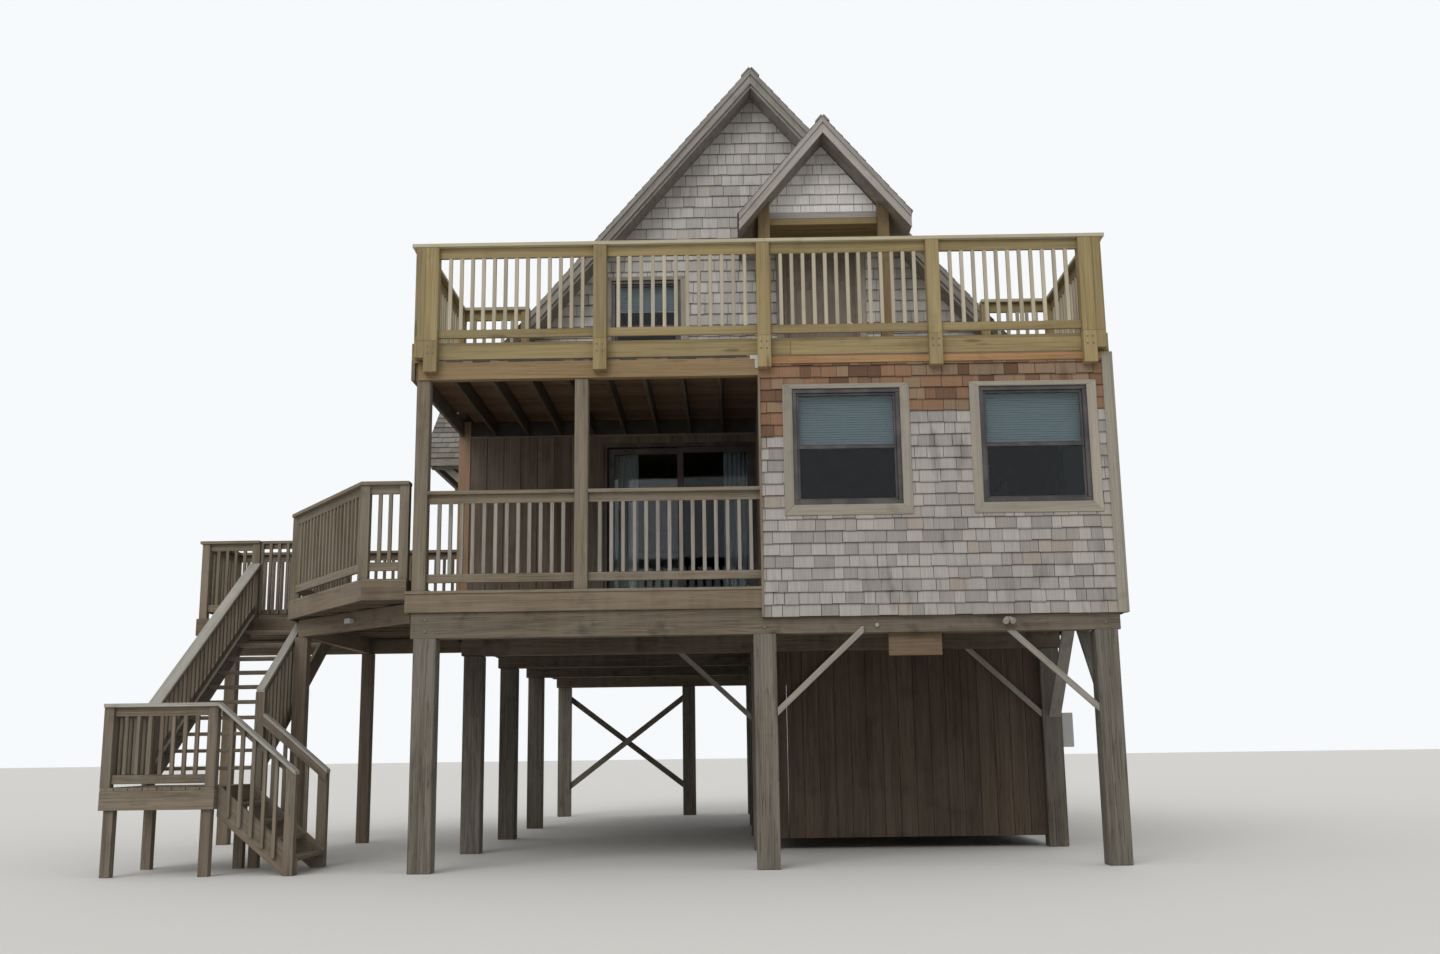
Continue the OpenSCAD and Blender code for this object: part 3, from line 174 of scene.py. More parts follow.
class Graph:
    """Adds and joins the nodes of one shader tree."""

    def __init__(self, tree: NodeTree) -> None:
        """Keeps the tree that nodes go into."""
        self.tree = tree

    def add(self, kind: str, **settings: Any) -> Node:
        """Adds a node and sets its properties.

        Args:
            kind: Type of the node.
            settings: Properties to set on it.

        Returns:
            The new node.
        """
        node = self.tree.nodes.new(kind)
        for name, value in settings.items():
            setattr(node, name, value)
        return node

    def link(self, socket: NodeSocket, value: Any) -> None:
        """Links an input to a value, or sets it.

        Args:
            socket: The input.
            value: A value, a socket, a number, a colour or a vector.
        """
        value = getattr(value, "socket", value)
        if isinstance(value, NodeSocket):
            self.tree.links.new(value, socket)
        elif socket.type == "RGBA" and len(value) == 3:
            socket.default_value = (*value, 1.0)
        else:
            socket.default_value = value

    def feed(self, node: Node, *values: Any, **named: Any) -> Node:
        """Feeds the inputs of a node, in their order or by name.

        Args:
            node: The node.
            values: What its first inputs get.
            named: What other inputs get, with _ for a space in their names.

        Returns:
            The same node.
        """
        for socket, value in zip(node.inputs, values):
            self.link(socket, value)
        for name, value in named.items():
            self.link(node.inputs[name.replace("_", " ")], value)
        return node

    def first(self, node: Node, *values: Any, **named: Any) -> Value:
        """Feeds a node as feed() does, and gives the value of its first output."""
        return Value(self, self.feed(node, *values, **named).outputs[0])

    def maths(self, operation: str, *values: Any, clamp: bool = False) -> Value:
        """Result of a Math node, held between 0 and 1 if clamp is set."""
        node = self.add("ShaderNodeMath", operation=operation, use_clamp=clamp)
        return self.first(node, *values)

    def mix(self, share: Any, one: Any, other: Any) -> Value:
        """Mixes two colours.

        Args:
            share: Share of the second colour.
            one: First colour.
            other: Second colour.

        Returns:
            The mixed colour.
        """
        node = self.add("ShaderNodeMix", data_type="RGBA")
        for i, value in ((0, share), (6, one), (7, other)):
            self.link(node.inputs[i], value)
        return Value(self, node.outputs[2])

    def noise(self, place: Any, scale: float, detail: float = 4.0) -> Value:
        """Cloudy value from 0 to 1 at a place."""
        node = self.add("ShaderNodeTexNoise")
        return self.first(node, Vector=place, Scale=scale, Detail=detail)

    def step(self, value: Any, low: float, high: float) -> Value:
        """A smooth step from 0 to 1 as the value goes from low to high."""
        node = self.add("ShaderNodeMapRange", interpolation_type="SMOOTHSTEP")
        return self.first(node, value, low, high)

    def join(self, x: Any, y: Any, z: Any = 0.0) -> Value:
        """A vector from three values."""
        return self.first(self.add("ShaderNodeCombineXYZ"), x, y, z)

    def split(self, vector: Any) -> list[Value]:
        """The three values of a vector."""
        node = self.feed(self.add("ShaderNodeSeparateXYZ"), vector)
        return [Value(self, socket) for socket in node.outputs]

    def brighten(self, colour: Any, value: Any) -> Value:
        """A colour times a value."""
        return self.first(self.add("ShaderNodeHueSaturation"), Color=colour, Value=value)

    def use(self, group: NodeTree, **values: Any) -> NodeOutputs:
        """Places a node group, feeds it by name and gives its outputs."""
        return self.feed(self.add("ShaderNodeGroup", node_tree=group), **values).outputs

    def place(self) -> NodeSocket:
        """The place on the house that is shaded."""
        return self.add("ShaderNodeTexCoord").outputs["Object"]

    def read(self, name: str) -> NodeSocket:
        """What a map of the mesh says."""
        return self.add("ShaderNodeUVMap", uv_map=name).outputs[0]


class Effects:
    """The node groups that several finishes share, each built once."""

    KINDS = dict.fromkeys(("Grain", "Position"), "NodeSocketVector") | dict.fromkeys(
        ("Color", "Light", "Dark", "Grey", "Warm", "Dust"), "NodeSocketColor"
    )

    def __init__(self) -> None:
        """Builds every group."""
        self.wood = self._wood()
        self.weather = self._weather()
        self.shingle = self._shingle()
        self.speckle = self._speckle()
        self.weave = self._weave()

    def _start(self, name: str, inputs: str, outputs: str) -> tuple[Graph, Node, list[Value]]:
        """Makes an empty group with named sockets.

        Args:
            name: The group's name.
            inputs: Names of its inputs, with _ for a space.
            outputs: Names of its outputs.

        Returns:
            Its graph, its output node, and the value that each input gives.
        """
        tree = bpy.data.node_groups.new(name, "ShaderNodeTree")
        for way, names in (("INPUT", inputs), ("OUTPUT", outputs)):
            for word in names.split():
                kind = self.KINDS.get(word, "NodeSocketFloat")
                socket = word.replace("_", " ")
                tree.interface.new_socket(name=socket, in_out=way, socket_type=kind)
        graph = Graph(tree)
        given = graph.add("NodeGroupInput").outputs[:-1]
        return graph, graph.add("NodeGroupOutput"), [Value(graph, s) for s in given]

    def _wood(self) -> NodeTree:
        """Grain, bands, knots and long cracks of sawn wood.

        Returns:
            The group's tree.
        """
        graph, out, (grain, tone, light, dark, spread, knots, cracks) = self._start(
            "wood_figure", "Grain Tone Light Dark Spread Knots Cracks", "Color Roughness Height"
        )
        along, across, _ = graph.split(grain)
        fibre = graph.noise(graph.join(along * 1.6, across * 55.0, tone * 17.0), 1.0, 5.0)
        band = graph.noise(graph.join(along * 0.5, across * 11.0, tone * 31.0), 1.0, 3.0)
        figure = fibre * 0.55 + band * 0.45
        colour = graph.mix(graph.step(figure, 0.32, 0.66), dark, light)
        cells = graph.join(along * 1.7, across * 9.0, tone * 11.0)
        cell = graph.feed(graph.add("ShaderNodeTexVoronoi"), Vector=cells, Scale=1.0).outputs
        lone = graph.step(graph.split(cell["Color"])[0], 0.62, 0.68)
        knot = graph.step(cell["Distance"], 0.07, 0.26).rest() * lone * knots
        colour = graph.mix(knot * 0.75, colour, graph.brighten(dark, 0.45))
        line = graph.noise(graph.join(along * 0.9, across * 38.0, tone * 7.0), 1.0, 2.0)
        ridge = graph.maths("ABSOLUTE", line - 0.5)
        crack = graph.step(ridge, 0.004, 0.016).rest() * cracks
        colour = graph.mix(crack * 0.7, colour, graph.brighten(dark, 0.3))
        graph.feed(
            out, Color=graph.brighten(colour, (tone - 0.5) * spread + 1.0),
            Roughness=graph.maths("ADD", 0.66, fibre * 0.24, clamp=True),
            Height=fibre * 0.6 - (crack + knot)
        )
        return graph.tree

    def _weather(self) -> NodeTree:
        """Grey patches, runs and dark damp that go over a surface.

        Returns:
            The group's tree.
        """
        graph, out, (colour, place, grey, amount, damp) = self._start(
            "weathering", "Color Position Grey Amount Damp", "Color"
        )
        x, y, z = graph.split(place)
        patch = graph.noise(place, 1.1, 4.0)
        run = graph.noise(graph.join(x * 9.0, y * 9.0, z * 0.8), 1.0, 3.0)
        share = graph.step(patch * 0.55 + run * 0.45, 0.36, 0.66) * amount
        dark = graph.step(graph.noise(place, 3.7, 6.0), 0.56, 0.75) * damp
        graph.feed(out, Color=graph.brighten(graph.mix(share, colour, grey), dark.rest()))
        return graph.tree

    def _shingle(self) -> NodeTree:
        """One split shingle: its own tone, fine upright grain, painted shadow where the next course
        covers it, a darker low edge and dirt streaks.

        Returns:
            The group's tree.
        """
        graph, out, (grain, tone, rise, place, light, dark, warm, warm_share) = self._start(
            "shingle_face", "Grain Tone Rise Position Light Dark Warm Warm_Share",
            "Color Roughness Height"
        )
        along, across, _ = graph.split(grain)
        x, y, z = graph.split(place)
        colour = graph.mix(graph.step(tone, 0.0, 0.75), dark, light)
        warmed = graph.maths("LESS_THAN", graph.maths("FRACT", tone * 7.31), warm_share)
        colour = graph.mix(warmed * 0.7, colour, warm)
        split = graph.noise(graph.join(along * 3.0, across * 90.0, tone * 23.0), 1.0, 4.0)
        patch = graph.noise(place, 1.7, 5.0)
        colour = graph.brighten(colour, (split * 0.54 + patch * 0.3) + 0.58)
        # Painted shadow: the top fifth of each shingle darkens where the butt of the next course
        # would shade it; the low edge is darker too, and the streaks are dirt.
        under = graph.step(rise, 0.8, 1.0)
        butt = graph.step(rise, -0.02, 0.07).rest()
        streak = graph.noise(graph.join((x + y) * 5.0, 0.0, z * 1.3), 1.0, 5.0)
        course_shade_and_dirt = under * 0.55 + butt * 0.35 + graph.step(streak, 0.54, 0.72) * 0.3
        graph.feed(
            out, Color=graph.brighten(colour, course_shade_and_dirt.rest()),
            Roughness=graph.maths("ADD", 0.74, split * 0.2, clamp=True), Height=split
        )
        return graph.tree

    def _speckle(self) -> NodeTree:
        """Light dust and wear on paint, plastic and metal.

        Returns:
            The group's tree.
        """
        graph, out, (colour, place, dust, amount, roughness) = self._start(
            "dust_and_wear", "Color Position Dust Amount Base_Roughness", "Color Roughness Height"
        )
        grit = graph.noise(place, 140.0, 2.0)
        cloud = graph.noise(place, 5.0, 6.0) * 0.7 + grit * 0.3
        share = graph.step(cloud, 0.42, 0.68) * amount
        graph.feed(
            out, Color=graph.mix(share, colour, dust), Roughness=roughness + share * 0.35,
            Height=grit
        )
        return graph.tree

    def _weave(self) -> NodeTree:
        """Plain weave of a thin cloth.

        Returns:
            The group's tree.
        """
        graph, out, (place, colour) = self._start("plain_weave", "Position Color", "Color Height")
        x, _, z = graph.split(place)
        warp, weft = (graph.maths("SINE", thread * 2600.0) for thread in (x, z))
        shade = graph.noise(place, 4.0, 3.0) * 0.24 + 0.86
        graph.feed(out, Color=graph.brighten(colour, shade), Height=warp * weft)
        return graph.tree


# Finishes


class GrainFrom(Enum):
    """Where a wood finish reads the run of its grain."""

    BOARDS = "boards"
    ALONG_X = "along_x"
    ALONG_Y = "along_y"
    ALONG_Z = "along_z"


def start_material(name: str) -> tuple[Material, Graph, Node]:
    """Makes a material with one Principled shader.

    Args:
        name: The material's name.

    Returns:
        The material, its graph and its shader.
    """
    material = bpy.data.materials.new(name)
    material.use_nodes = True
    graph = Graph(material.node_tree)
    shader = next(n for n in material.node_tree.nodes if n.type == "BSDF_PRINCIPLED")
    return material, graph, shader


def add_bump(graph: Graph, shader: Node, height: Any, distance: float) -> None:
    """Turns a shader's normal by a height from 0 to 1, where 1 stands for a distance."""
    bump = graph.first(graph.add("ShaderNodeBump"), Distance=distance, Strength=0.8, Height=height)
    graph.feed(shader, Normal=bump)


@dataclass(frozen=True)
class WoodFinish:
    """Sawn wood, from new to grey."""

    name: str
    light: Colour
    dark: Colour
    grey: Colour = (0.32, 0.3, 0.27)
    weather: float = 0.25
    damp: float = 0.2
    spread: float = 0.3
    knots: float = 0.5
    cracks: float = 0.3
    relief: float = 0.004

    def material(self, effects: Effects, grain: GrainFrom = GrainFrom.BOARDS) -> Material:
        """Builds the material.

        Args:
            effects: The shared node groups.
            grain: Where the grain's run is read.

        Returns:
            The material.
        """
        material, graph, shader = start_material(f"{self.name}_{grain.value}")
        place = graph.place()
        if grain is GrainFrom.BOARDS:
            run, tone = graph.read(GRAIN_MAP), graph.split(graph.read(TONE_MAP))[0]
        else:
            x, y, z = graph.split(place)
            along, a, b = {
                GrainFrom.ALONG_X: (x, y, z), GrainFrom.ALONG_Y: (y, x, z),
                GrainFrom.ALONG_Z: (z, x, y)
            }[grain]
            run, tone = graph.join(along, a + b), graph.noise(place, 0.8, 1.0)
        figure = graph.use(
            effects.wood, Grain=run, Tone=tone, Light=self.light, Dark=self.dark,
            Spread=self.spread, Knots=self.knots, Cracks=self.cracks
        )
        weathered = graph.use(
            effects.weather, Color=figure["Color"], Position=place, Grey=self.grey,
            Amount=self.weather, Damp=self.damp
        )
        graph.feed(
            shader, Base_Color=weathered["Color"], Roughness=figure["Roughness"],
            Specular_IOR_Level=0.25
        )
        add_bump(graph, shader, figure["Height"], self.relief)
        return material


@dataclass(frozen=True)
class ShingleFinish:
    """Split wood shingles, each with its own shade."""

    name: str
    light: Colour
    dark: Colour
    warm: Colour
    warm_share: float = 0.12
    relief: float = 0.004

    def material(self, effects: Effects) -> Material:
        """Builds the material from the shared shingle group.

        Args:
            effects: Holder of the shared groups.

        Returns:
            The material.
        """
        material, graph, shader = start_material(self.name)
        tone, rise, _ = graph.split(graph.read(TONE_MAP))
        face = graph.use(
            effects.shingle, Grain=graph.read(GRAIN_MAP), Tone=tone, Rise=rise,
            Position=graph.place(), Light=self.light, Dark=self.dark, Warm=self.warm,
            Warm_Share=self.warm_share
        )
        graph.feed(
            shader, Base_Color=face["Color"], Roughness=face["Roughness"], Specular_IOR_Level=0.2
        )
        add_bump(graph, shader, face["Height"], self.relief)
        return material


@dataclass(frozen=True)
class PlainFinish:
    """Paint, plastic or metal with a little dust."""

    name: str
    colour: Colour
    dust: Colour = (0.35, 0.33, 0.3)
    amount: float = 0.15
    roughness: float = 0.45
    metallic: float = 0.0
    relief: float = 0.0002

    def material(self, effects: Effects) -> Material:
        """Builds the material from the shared dust group.

        Args:
            effects: Holder of the shared groups.

        Returns:
            The material.
        """
        material, graph, shader = start_material(self.name)
        worn = graph.use(
            effects.speckle, Color=self.colour, Position=graph.place(), Dust=self.dust,
            Amount=self.amount, Base_Roughness=self.roughness
        )
        graph.feed(
            shader, Base_Color=worn["Color"], Roughness=worn["Roughness"], Metallic=self.metallic
        )
        add_bump(graph, shader, worn["Height"], self.relief)
        return material


@dataclass(frozen=True)
class ClothFinish:
    """Thin woven cloth."""

    name: str
    colour: Colour

    def material(self, effects: Effects) -> Material:
        """Builds the material from the shared weave group.

        Args:
            effects: Holder of the shared groups.

        Returns:
            The material.
        """
        material, graph, shader = start_material(self.name)
        weave = graph.use(effects.weave, Position=graph.place(), Color=self.colour)
        graph.feed(shader, Base_Color=weave["Color"], Roughness=0.85, Sheen_Weight=0.3)
        add_bump(graph, shader, weave["Height"], 0.0003)
        return material


@dataclass(frozen=True)
class GlassFinish:
    """Window glass with a faint film of dust."""

    name: str
    colour: Colour = (0.62, 0.68, 0.7)
    bending: float = 1.45

    def material(self, effects: Effects) -> Material:
        """Builds the material; transmission and metallic stay plain.

        Args:
            effects: Holder of the shared groups.

        Returns:
            The material.
        """
        material, graph, shader = start_material(self.name)
        film = graph.use(
            effects.speckle, Color=self.colour, Position=graph.place(), Dust=(0.5, 0.52, 0.52),
            Amount=0.15, Base_Roughness=0.03
        )
        graph.feed(
            shader, Base_Color=film["Color"], Roughness=0.03, IOR=self.bending,
            Specular_IOR_Level=0.1, Transmission_Weight=1.0
        )
        return material


class Look(Enum):
    """The finishes of the house."""

    # Darkened to the shade under the house: painted shade in the pile colour.
    PILE = WoodFinish(
        "pile_timber", (0.18, 0.155, 0.119), (0.078, 0.065, 0.05), grey=(0.18, 0.168, 0.146),
        weather=0.5, cracks=0.9, spread=0.35
    )
    FRAME = WoodFinish(
        "frame_timber", (0.215, 0.162, 0.11), (0.125, 0.092, 0.062), grey=(0.24, 0.205, 0.16),
        weather=0.35
    )
    GIRDER = WoodFinish(
        "girder_timber", (0.165, 0.128, 0.09), (0.085, 0.065, 0.046), grey=(0.18, 0.155, 0.122),
        weather=0.5, damp=0.45, cracks=0.6
    )
    UNDER = WoodFinish(
        "joist_timber", (0.12, 0.09, 0.064), (0.07, 0.052, 0.036), grey=(0.14, 0.12, 0.1),
        weather=0.2
    )
    BRACE = WoodFinish(
        "brace_timber", (0.31, 0.28, 0.235), (0.19, 0.165, 0.135), weather=0.5, cracks=0.5
    )
    GREY_RAIL = WoodFinish(
        "old_rail_timber", (0.235, 0.188, 0.132), (0.138, 0.107, 0.073), grey=(0.25, 0.225, 0.18),
        weather=0.45, cracks=0.5
    )
    STAIR = WoodFinish(
        "stair_timber", (0.215, 0.17, 0.122), (0.125, 0.097, 0.068), grey=(0.23, 0.205, 0.165),
        weather=0.45, cracks=0.6
    )
    NEW = WoodFinish(
        "new_timber", (0.335, 0.256, 0.124), (0.205, 0.15, 0.065), grey=(0.275, 0.24, 0.155),
        weather=0.25, damp=0.15, spread=0.34, knots=1.0, cracks=0.2, relief=0.0025
    )
    RIM = WoodFinish(
        "tan_timber", (0.275, 0.188, 0.098), (0.185, 0.12, 0.06), grey=(0.235, 0.19, 0.11),
        weather=0.3
    )
    BAND = WoodFinish(
        "cedar_timber", (0.45, 0.255, 0.12), (0.31, 0.165, 0.075), grey=(0.38, 0.27, 0.14),
        weather=0.3
    )
    DECK_CAP = WoodFinish(
        "deck_cap_timber", (0.49, 0.44, 0.3), (0.33, 0.29, 0.185), grey=(0.46, 0.43, 0.34),
        weather=0.4, damp=0.15, spread=0.3, knots=0.8, cracks=0.2, relief=0.0025
    )
    PALE_STICK = WoodFinish(
        "baluster_timber", (0.48, 0.425, 0.315), (0.35, 0.295, 0.205), grey=(0.44, 0.405, 0.33),
        weather=0.35, damp=0.1, spread=0.4, knots=0.3, cracks=0.1, relief=0.002
    )
    PALE_CAP = WoodFinish(
        "stair_cap_timber", (0.44, 0.41, 0.36), (0.3, 0.275, 0.235), grey=(0.38, 0.365, 0.33),
        weather=0.5, cracks=0.5
    )
    GABLET_TRIM = WoodFinish(
        "gablet_fascia_timber", (0.41, 0.37, 0.345), (0.29, 0.257, 0.238), grey=(0.38, 0.36, 0.34),
        weather=0.5, cracks=0.4, knots=0.2
    )
    CEILING = WoodFinish("ceiling_timber", (0.32, 0.2, 0.125), (0.2, 0.12, 0.072), weather=0.1)
    BOARDS = WoodFinish(
        "wall_boards", (0.17, 0.125, 0.09), (0.105, 0.072, 0.05), weather=0.2, cracks=0.5
    )
    # Darkened to the shade under the house: painted shade in the board colour.
    STORE = WoodFinish(
        "store_boards", (0.103, 0.073, 0.05), (0.054, 0.037, 0.026), grey=(0.12, 0.096, 0.074),
        weather=0.35, cracks=0.6
    )
    TRIM = WoodFinish(
        "trim_timber", (0.345, 0.31, 0.25), (0.245, 0.212, 0.168), grey=(0.29, 0.27, 0.235),
        weather=0.35, knots=0.2, cracks=0.2
    )
    CORNER = WoodFinish(
        "corner_timber", (0.42, 0.275, 0.165), (0.3, 0.185, 0.105), weather=0.1, knots=0.4
    )
    FASCIA = WoodFinish(
        "fascia_timber", (0.33, 0.3, 0.275), (0.215, 0.192, 0.172), weather=0.5, cracks=0.5
    )
    FLOOR = WoodFinish("floor_timber", (0.22, 0.15, 0.09), (0.14, 0.09, 0.055), weather=0.05)
    DOOR = WoodFinish(
        "door_timber", (0.16, 0.09, 0.055), (0.09, 0.05, 0.03), weather=0.05, damp=0.05, cracks=0.0
    )
    WALL_SHINGLES = ShingleFinish(
        "wall_shingles", (0.395, 0.36, 0.333), (0.285, 0.258, 0.236), (0.335, 0.28, 0.23), 0.06
    )
    GABLE_SHINGLES = ShingleFinish(
        "gable_shingles", (0.53, 0.505, 0.48), (0.42, 0.395, 0.372), (0.46, 0.415, 0.37), 0.08
    )
    # A lighter copy of the gable shingles: painted light on the pediment against the shade of its
    # rake boards.
    PEDIMENT_SHINGLES = ShingleFinish(
        "pediment_shingles", (0.78, 0.75, 0.72), (0.66, 0.63, 0.6), (0.7, 0.64, 0.58), 0.06
    )
    NEW_SHINGLES = ShingleFinish(
        "new_shingles", (0.25, 0.143, 0.085), (0.12, 0.067, 0.041), (0.26, 0.187, 0.122), 0.35
    )
    ROOF_SHINGLES = ShingleFinish(
        "roof_shingles", (0.25, 0.23, 0.207), (0.165, 0.15, 0.133), (0.22, 0.178, 0.14), 0.1
    )
    DARK_FRAME = PlainFinish("window_paint", (0.035, 0.028, 0.03), roughness=0.4)
    DOOR_FRAME = PlainFinish("door_paint", (0.035, 0.022, 0.017), roughness=0.45)
    UPPER_DOOR = WoodFinish(
        "upper_door_timber", (0.25, 0.205, 0.16), (0.17, 0.135, 0.105), weather=0.2, cracks=0.1
    )
    BLIND = PlainFinish("blind_slats", (0.56, 0.6, 0.56), amount=0.05, roughness=0.5)
    # Near-black backing: painted shade for the dark rooms seen through the windows, and the dark
    # strip under the deck rim.
    PAINTED_SHADE_BACKING = PlainFinish("dark_backing_painted_shade", (0.05, 0.042, 0.035), amount=0.1, roughness=0.9)
    METAL = PlainFinish("zinc_metal", (0.5, 0.5, 0.49), roughness=0.38, metallic=1.0, amount=0.3)
    BOLT = PlainFinish("bolt_metal", (0.13, 0.12, 0.1), roughness=0.5, metallic=1.0, amount=0.4)
    BOX = PlainFinish("box_paint", (0.46, 0.46, 0.44), roughness=0.5)
    LAMP = PlainFinish("lamp_paint", (0.29, 0.26, 0.23), roughness=0.4)
    WRAP = PlainFinish("wrap_paper", (0.47, 0.49, 0.48), amount=0.2, roughness=0.7)
    CURTAIN = ClothFinish("curtain_cloth", (0.78, 0.78, 0.74))
    GLASS = GlassFinish("clear_glass")
    SASH_GLASS = GlassFinish("sash_glass", (0.5, 0.57, 0.62), 1.3)


class Workshop:
    """Keeps the frame and the effects, and hands out each finish's material once."""

    def __init__(self, frame: dict[str, Any]) -> None:
        """Keeps the CAD nodes and builds the shared effects.
        """
        self.nodes = frame["nodes"]
        self.effects = Effects()
        self.made: dict[tuple[Look, GrainFrom], Material] = {}

    def material(self, look: Look, grain: GrainFrom = GrainFrom.BOARDS) -> Material:
        """The material of a finish, built the first time it is asked for.

        Args:
            look: The finish.
            grain: Where a wood finish reads its grain.

        Returns:
            The material.
        """
        key = (look, grain)
        if key not in self.made:
            more = (grain,) if isinstance(look.value, WoodFinish) else ()
            self.made[key] = look.value.material(self.effects, *more)
        return self.made[key]

    def dress(
        self, node: str, look: Look, grain: GrainFrom = GrainFrom.ALONG_Z, bevel: float = 0.0
    ) -> None:
        """Gives a CAD node that stays a finish.

        Args:
            node: The node's name.
            look: Its finish.
            grain: Which way its grain runs.
            bevel: Width of its eased edges, or 0.
        """
        piece = self.nodes[node]
        piece.data.materials.clear()
        piece.data.materials.append(self.material(look, grain))
        LOG.info("%s: dressed as %s", node, look.value.name)
        if bevel:
            weld = piece.modifiers.new("weld", "WELD")
            weld.merge_threshold = 0.00005
            ease_edges(piece, bevel)


def ease_edges(piece: Object, width: float) -> None:
    """Adds a bevel to the sharp edges of a piece.

    Args:
        piece: The piece.
        width: Width of the bevel.
    """
    bevel = piece.modifiers.new("edges", "BEVEL")
    bevel.width, bevel.segments = width, 1
    bevel.limit_method, bevel.angle_limit = "ANGLE", radians(40.0)


# Solids


def vec(x: float, y: float, z: float) -> Vector:
    """A point or a direction."""
    return Vector((x, y, z))


def rectangle(u: Span, v: Span) -> list[Point2]:
    """Corners of an upright rectangle, anticlockwise."""
    return [(u[0], v[0]), (u[1], v[0]), (u[1], v[1]), (u[0], v[1])]


class Stock:
    """Collects solid pieces of one finish into one mesh, with maps of grain and tone."""

    def __init__(self, name: str) -> None:
        """Starts an empty mesh.

        Args:
            name: Its name, which also seeds its shades.
        """
        self.name = name
        self.rng = random.Random(name)
        self.points: list[Vector] = []
        self.faces: list[list[int]] = []
        self.grain: list[float] = []
        self.tone: list[float] = []

    def slab(
        self, front: Sequence[Vector], back: Sequence[Vector], along: Vector,
        rise: Sequence[float] | None = None
    ) -> None:
        """Adds a solid between two polygons of as many points.

        Args:
            front: Outer polygon.
            back: Inner polygon.
            along: Direction of the grain.
            rise: How high up its shingle each point is, from 0 to 1.
        """
        count = len(front)
        after = [*range(1, count), 0]
        middle = sum(front, Vector()) / count
        turns = ((front[i] - middle).cross(front[j] - middle) for i, j in enumerate(after))
        heights = list(rise) if rise else [0.5] * count
        if sum(turns, Vector()).dot(middle - sum(back, Vector()) / count) < 0:
            front, back, heights = front[::-1], back[::-1], heights[::-1]
        base = len(self.points)
        self.points += [*front, *back]
        along = along.normalized()
        offset = (self.rng.uniform(0, 40), self.rng.uniform(0, 40))
        tone = self.rng.random()
        outlines = [list(range(count)), list(range(2 * count - 1, count - 1, -1))]
        outlines += [[i, count + i, count + j, j] for i, j in enumerate(after)]
        for outline in outlines:
            self.faces.append([base + k for k in outline])
            a, b, c = (self.points[base + k] for k in outline[:3])
            normal = (b - a).cross(c - b)
            side = normal.cross(along)
            across, up, scale = along, side.normalized(), 1.0
            if side.length < 0.3 * normal.length or side.length == 0:
                across = (b - a).normalized()
                up, scale = normal.cross(across).normalized(), END_GRAIN
            for k in outline:
                point = self.points[base + k]
                self.grain += (point.dot(across) * scale + offset[0], point.dot(up) + offset[1])
                self.tone += (tone, heights[k % count])

    def bar(self, start: Vector, end: Vector, side: Vector, rise: Vector) -> None:
        """Adds a bar round a centre line; side and rise are half of its width and depth."""
        corners = (-side - rise, side - rise, side + rise, -side + rise)
        self.slab([start + c for c in corners], [end + c for c in corners], end - start)

    def block(self, x: Span, y: Span, z: Span, along: Vector | None = None) -> None:
        """Adds an upright box given by its limits.

        Args:
            x: Limits in X.
            y: Limits in Y.
            z: Limits in Z.
            along: Direction of the grain, if not the longest side.
        """
        size = vec(x[1], y[1], z[1]) - vec(x[0], y[0], z[0])
        run = along or (X, Y, UP)[max(range(3), key=lambda i: size[i])]
        self.plate([vec(a, y[0], b) for a, b in rectangle(x, z)], Y * size.y, run)

    def post(self, x: float, y: float, z: Span, size: float) -> None:
        """Adds a square post centred on x, y."""
        half = size / 2
        self.block((x - half, x + half), (y - half, y + half), z, UP)

    def joists(self, x: Span, pitch: float, y: Span, z: Span) -> None:
        """Adds joists along Y.

        Args:
            x: Middle of the first one, and the furthest that one may stand.
            pitch: Spacing of the joists.
            y: Limits in Y.
            z: Limits in Z.
        """
        middle, half = x[0], PLAN.board_t / 2
        while middle <= x[1] + 1e-6:
            self.block((middle - half, middle + half), y, z)
            middle += pitch

    def plate(self, outline: Sequence[Vector], depth: Vector, along: Vector) -> None:
        """Adds a flat plate: an outline and how far it goes back."""
        self.slab(list(outline), [p + depth for p in outline], along)

    def disc(
        self, centre: Vector, axis: Vector, radius: float, depth: float, sides: int = 12
    ) -> None:
        """Adds a short round bar.

        Args:
            centre: Middle of its front face.
            axis: Direction that its front faces.
            radius: Its radius.
            depth: How far it goes back.
            sides: Sides of its outline.
        """
        axis = axis.normalized()
        first = axis.orthogonal().normalized() * radius
        second = axis.cross(first)
        turns = (2 * pi * i / sides for i in range(sides))
        ring = [centre + first * cos(a) + second * sin(a) for a in turns]
        self.plate(ring, axis * -depth, axis)

    def build(
        self, shop: Workshop, look: Look, slot: str, replaces: str = "", body: str = HOUSE,
        bevel: float = 0.003
    ) -> None:
        """Makes the object and hands it to the frame.

        Args:
            shop: Where its material comes from.
            look: Its finish.
            slot: Name of a slot in the record; not used.
            replaces: The CAD node that it stands for, if there is one.
            body: The body that it rides on.
            bevel: Width of its eased edges, or 0.
        """
        mesh = bpy.data.meshes.new(self.name)
        mesh.from_pydata(self.points, [], self.faces)
        for name, values in ((GRAIN_MAP, self.grain), (TONE_MAP, self.tone)):
            mesh.uv_layers.new(name=name).data.foreach_set("uv", values)
        mesh.materials.append(shop.material(look))
        piece = bpy.data.objects.new(self.name, mesh)
        bpy.context.scene.collection.objects.link(piece)
        if bevel:
            ease_edges(piece, bevel)
        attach(piece, body)
        if replaces:
            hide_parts(replaces)
        LOG.info("%s: %d faces on %s", self.name, len(self.faces), body)


def stocks(*names: str) -> list[Stock]:
    """Starts several pieces."""
    return [Stock(name) for name in names]


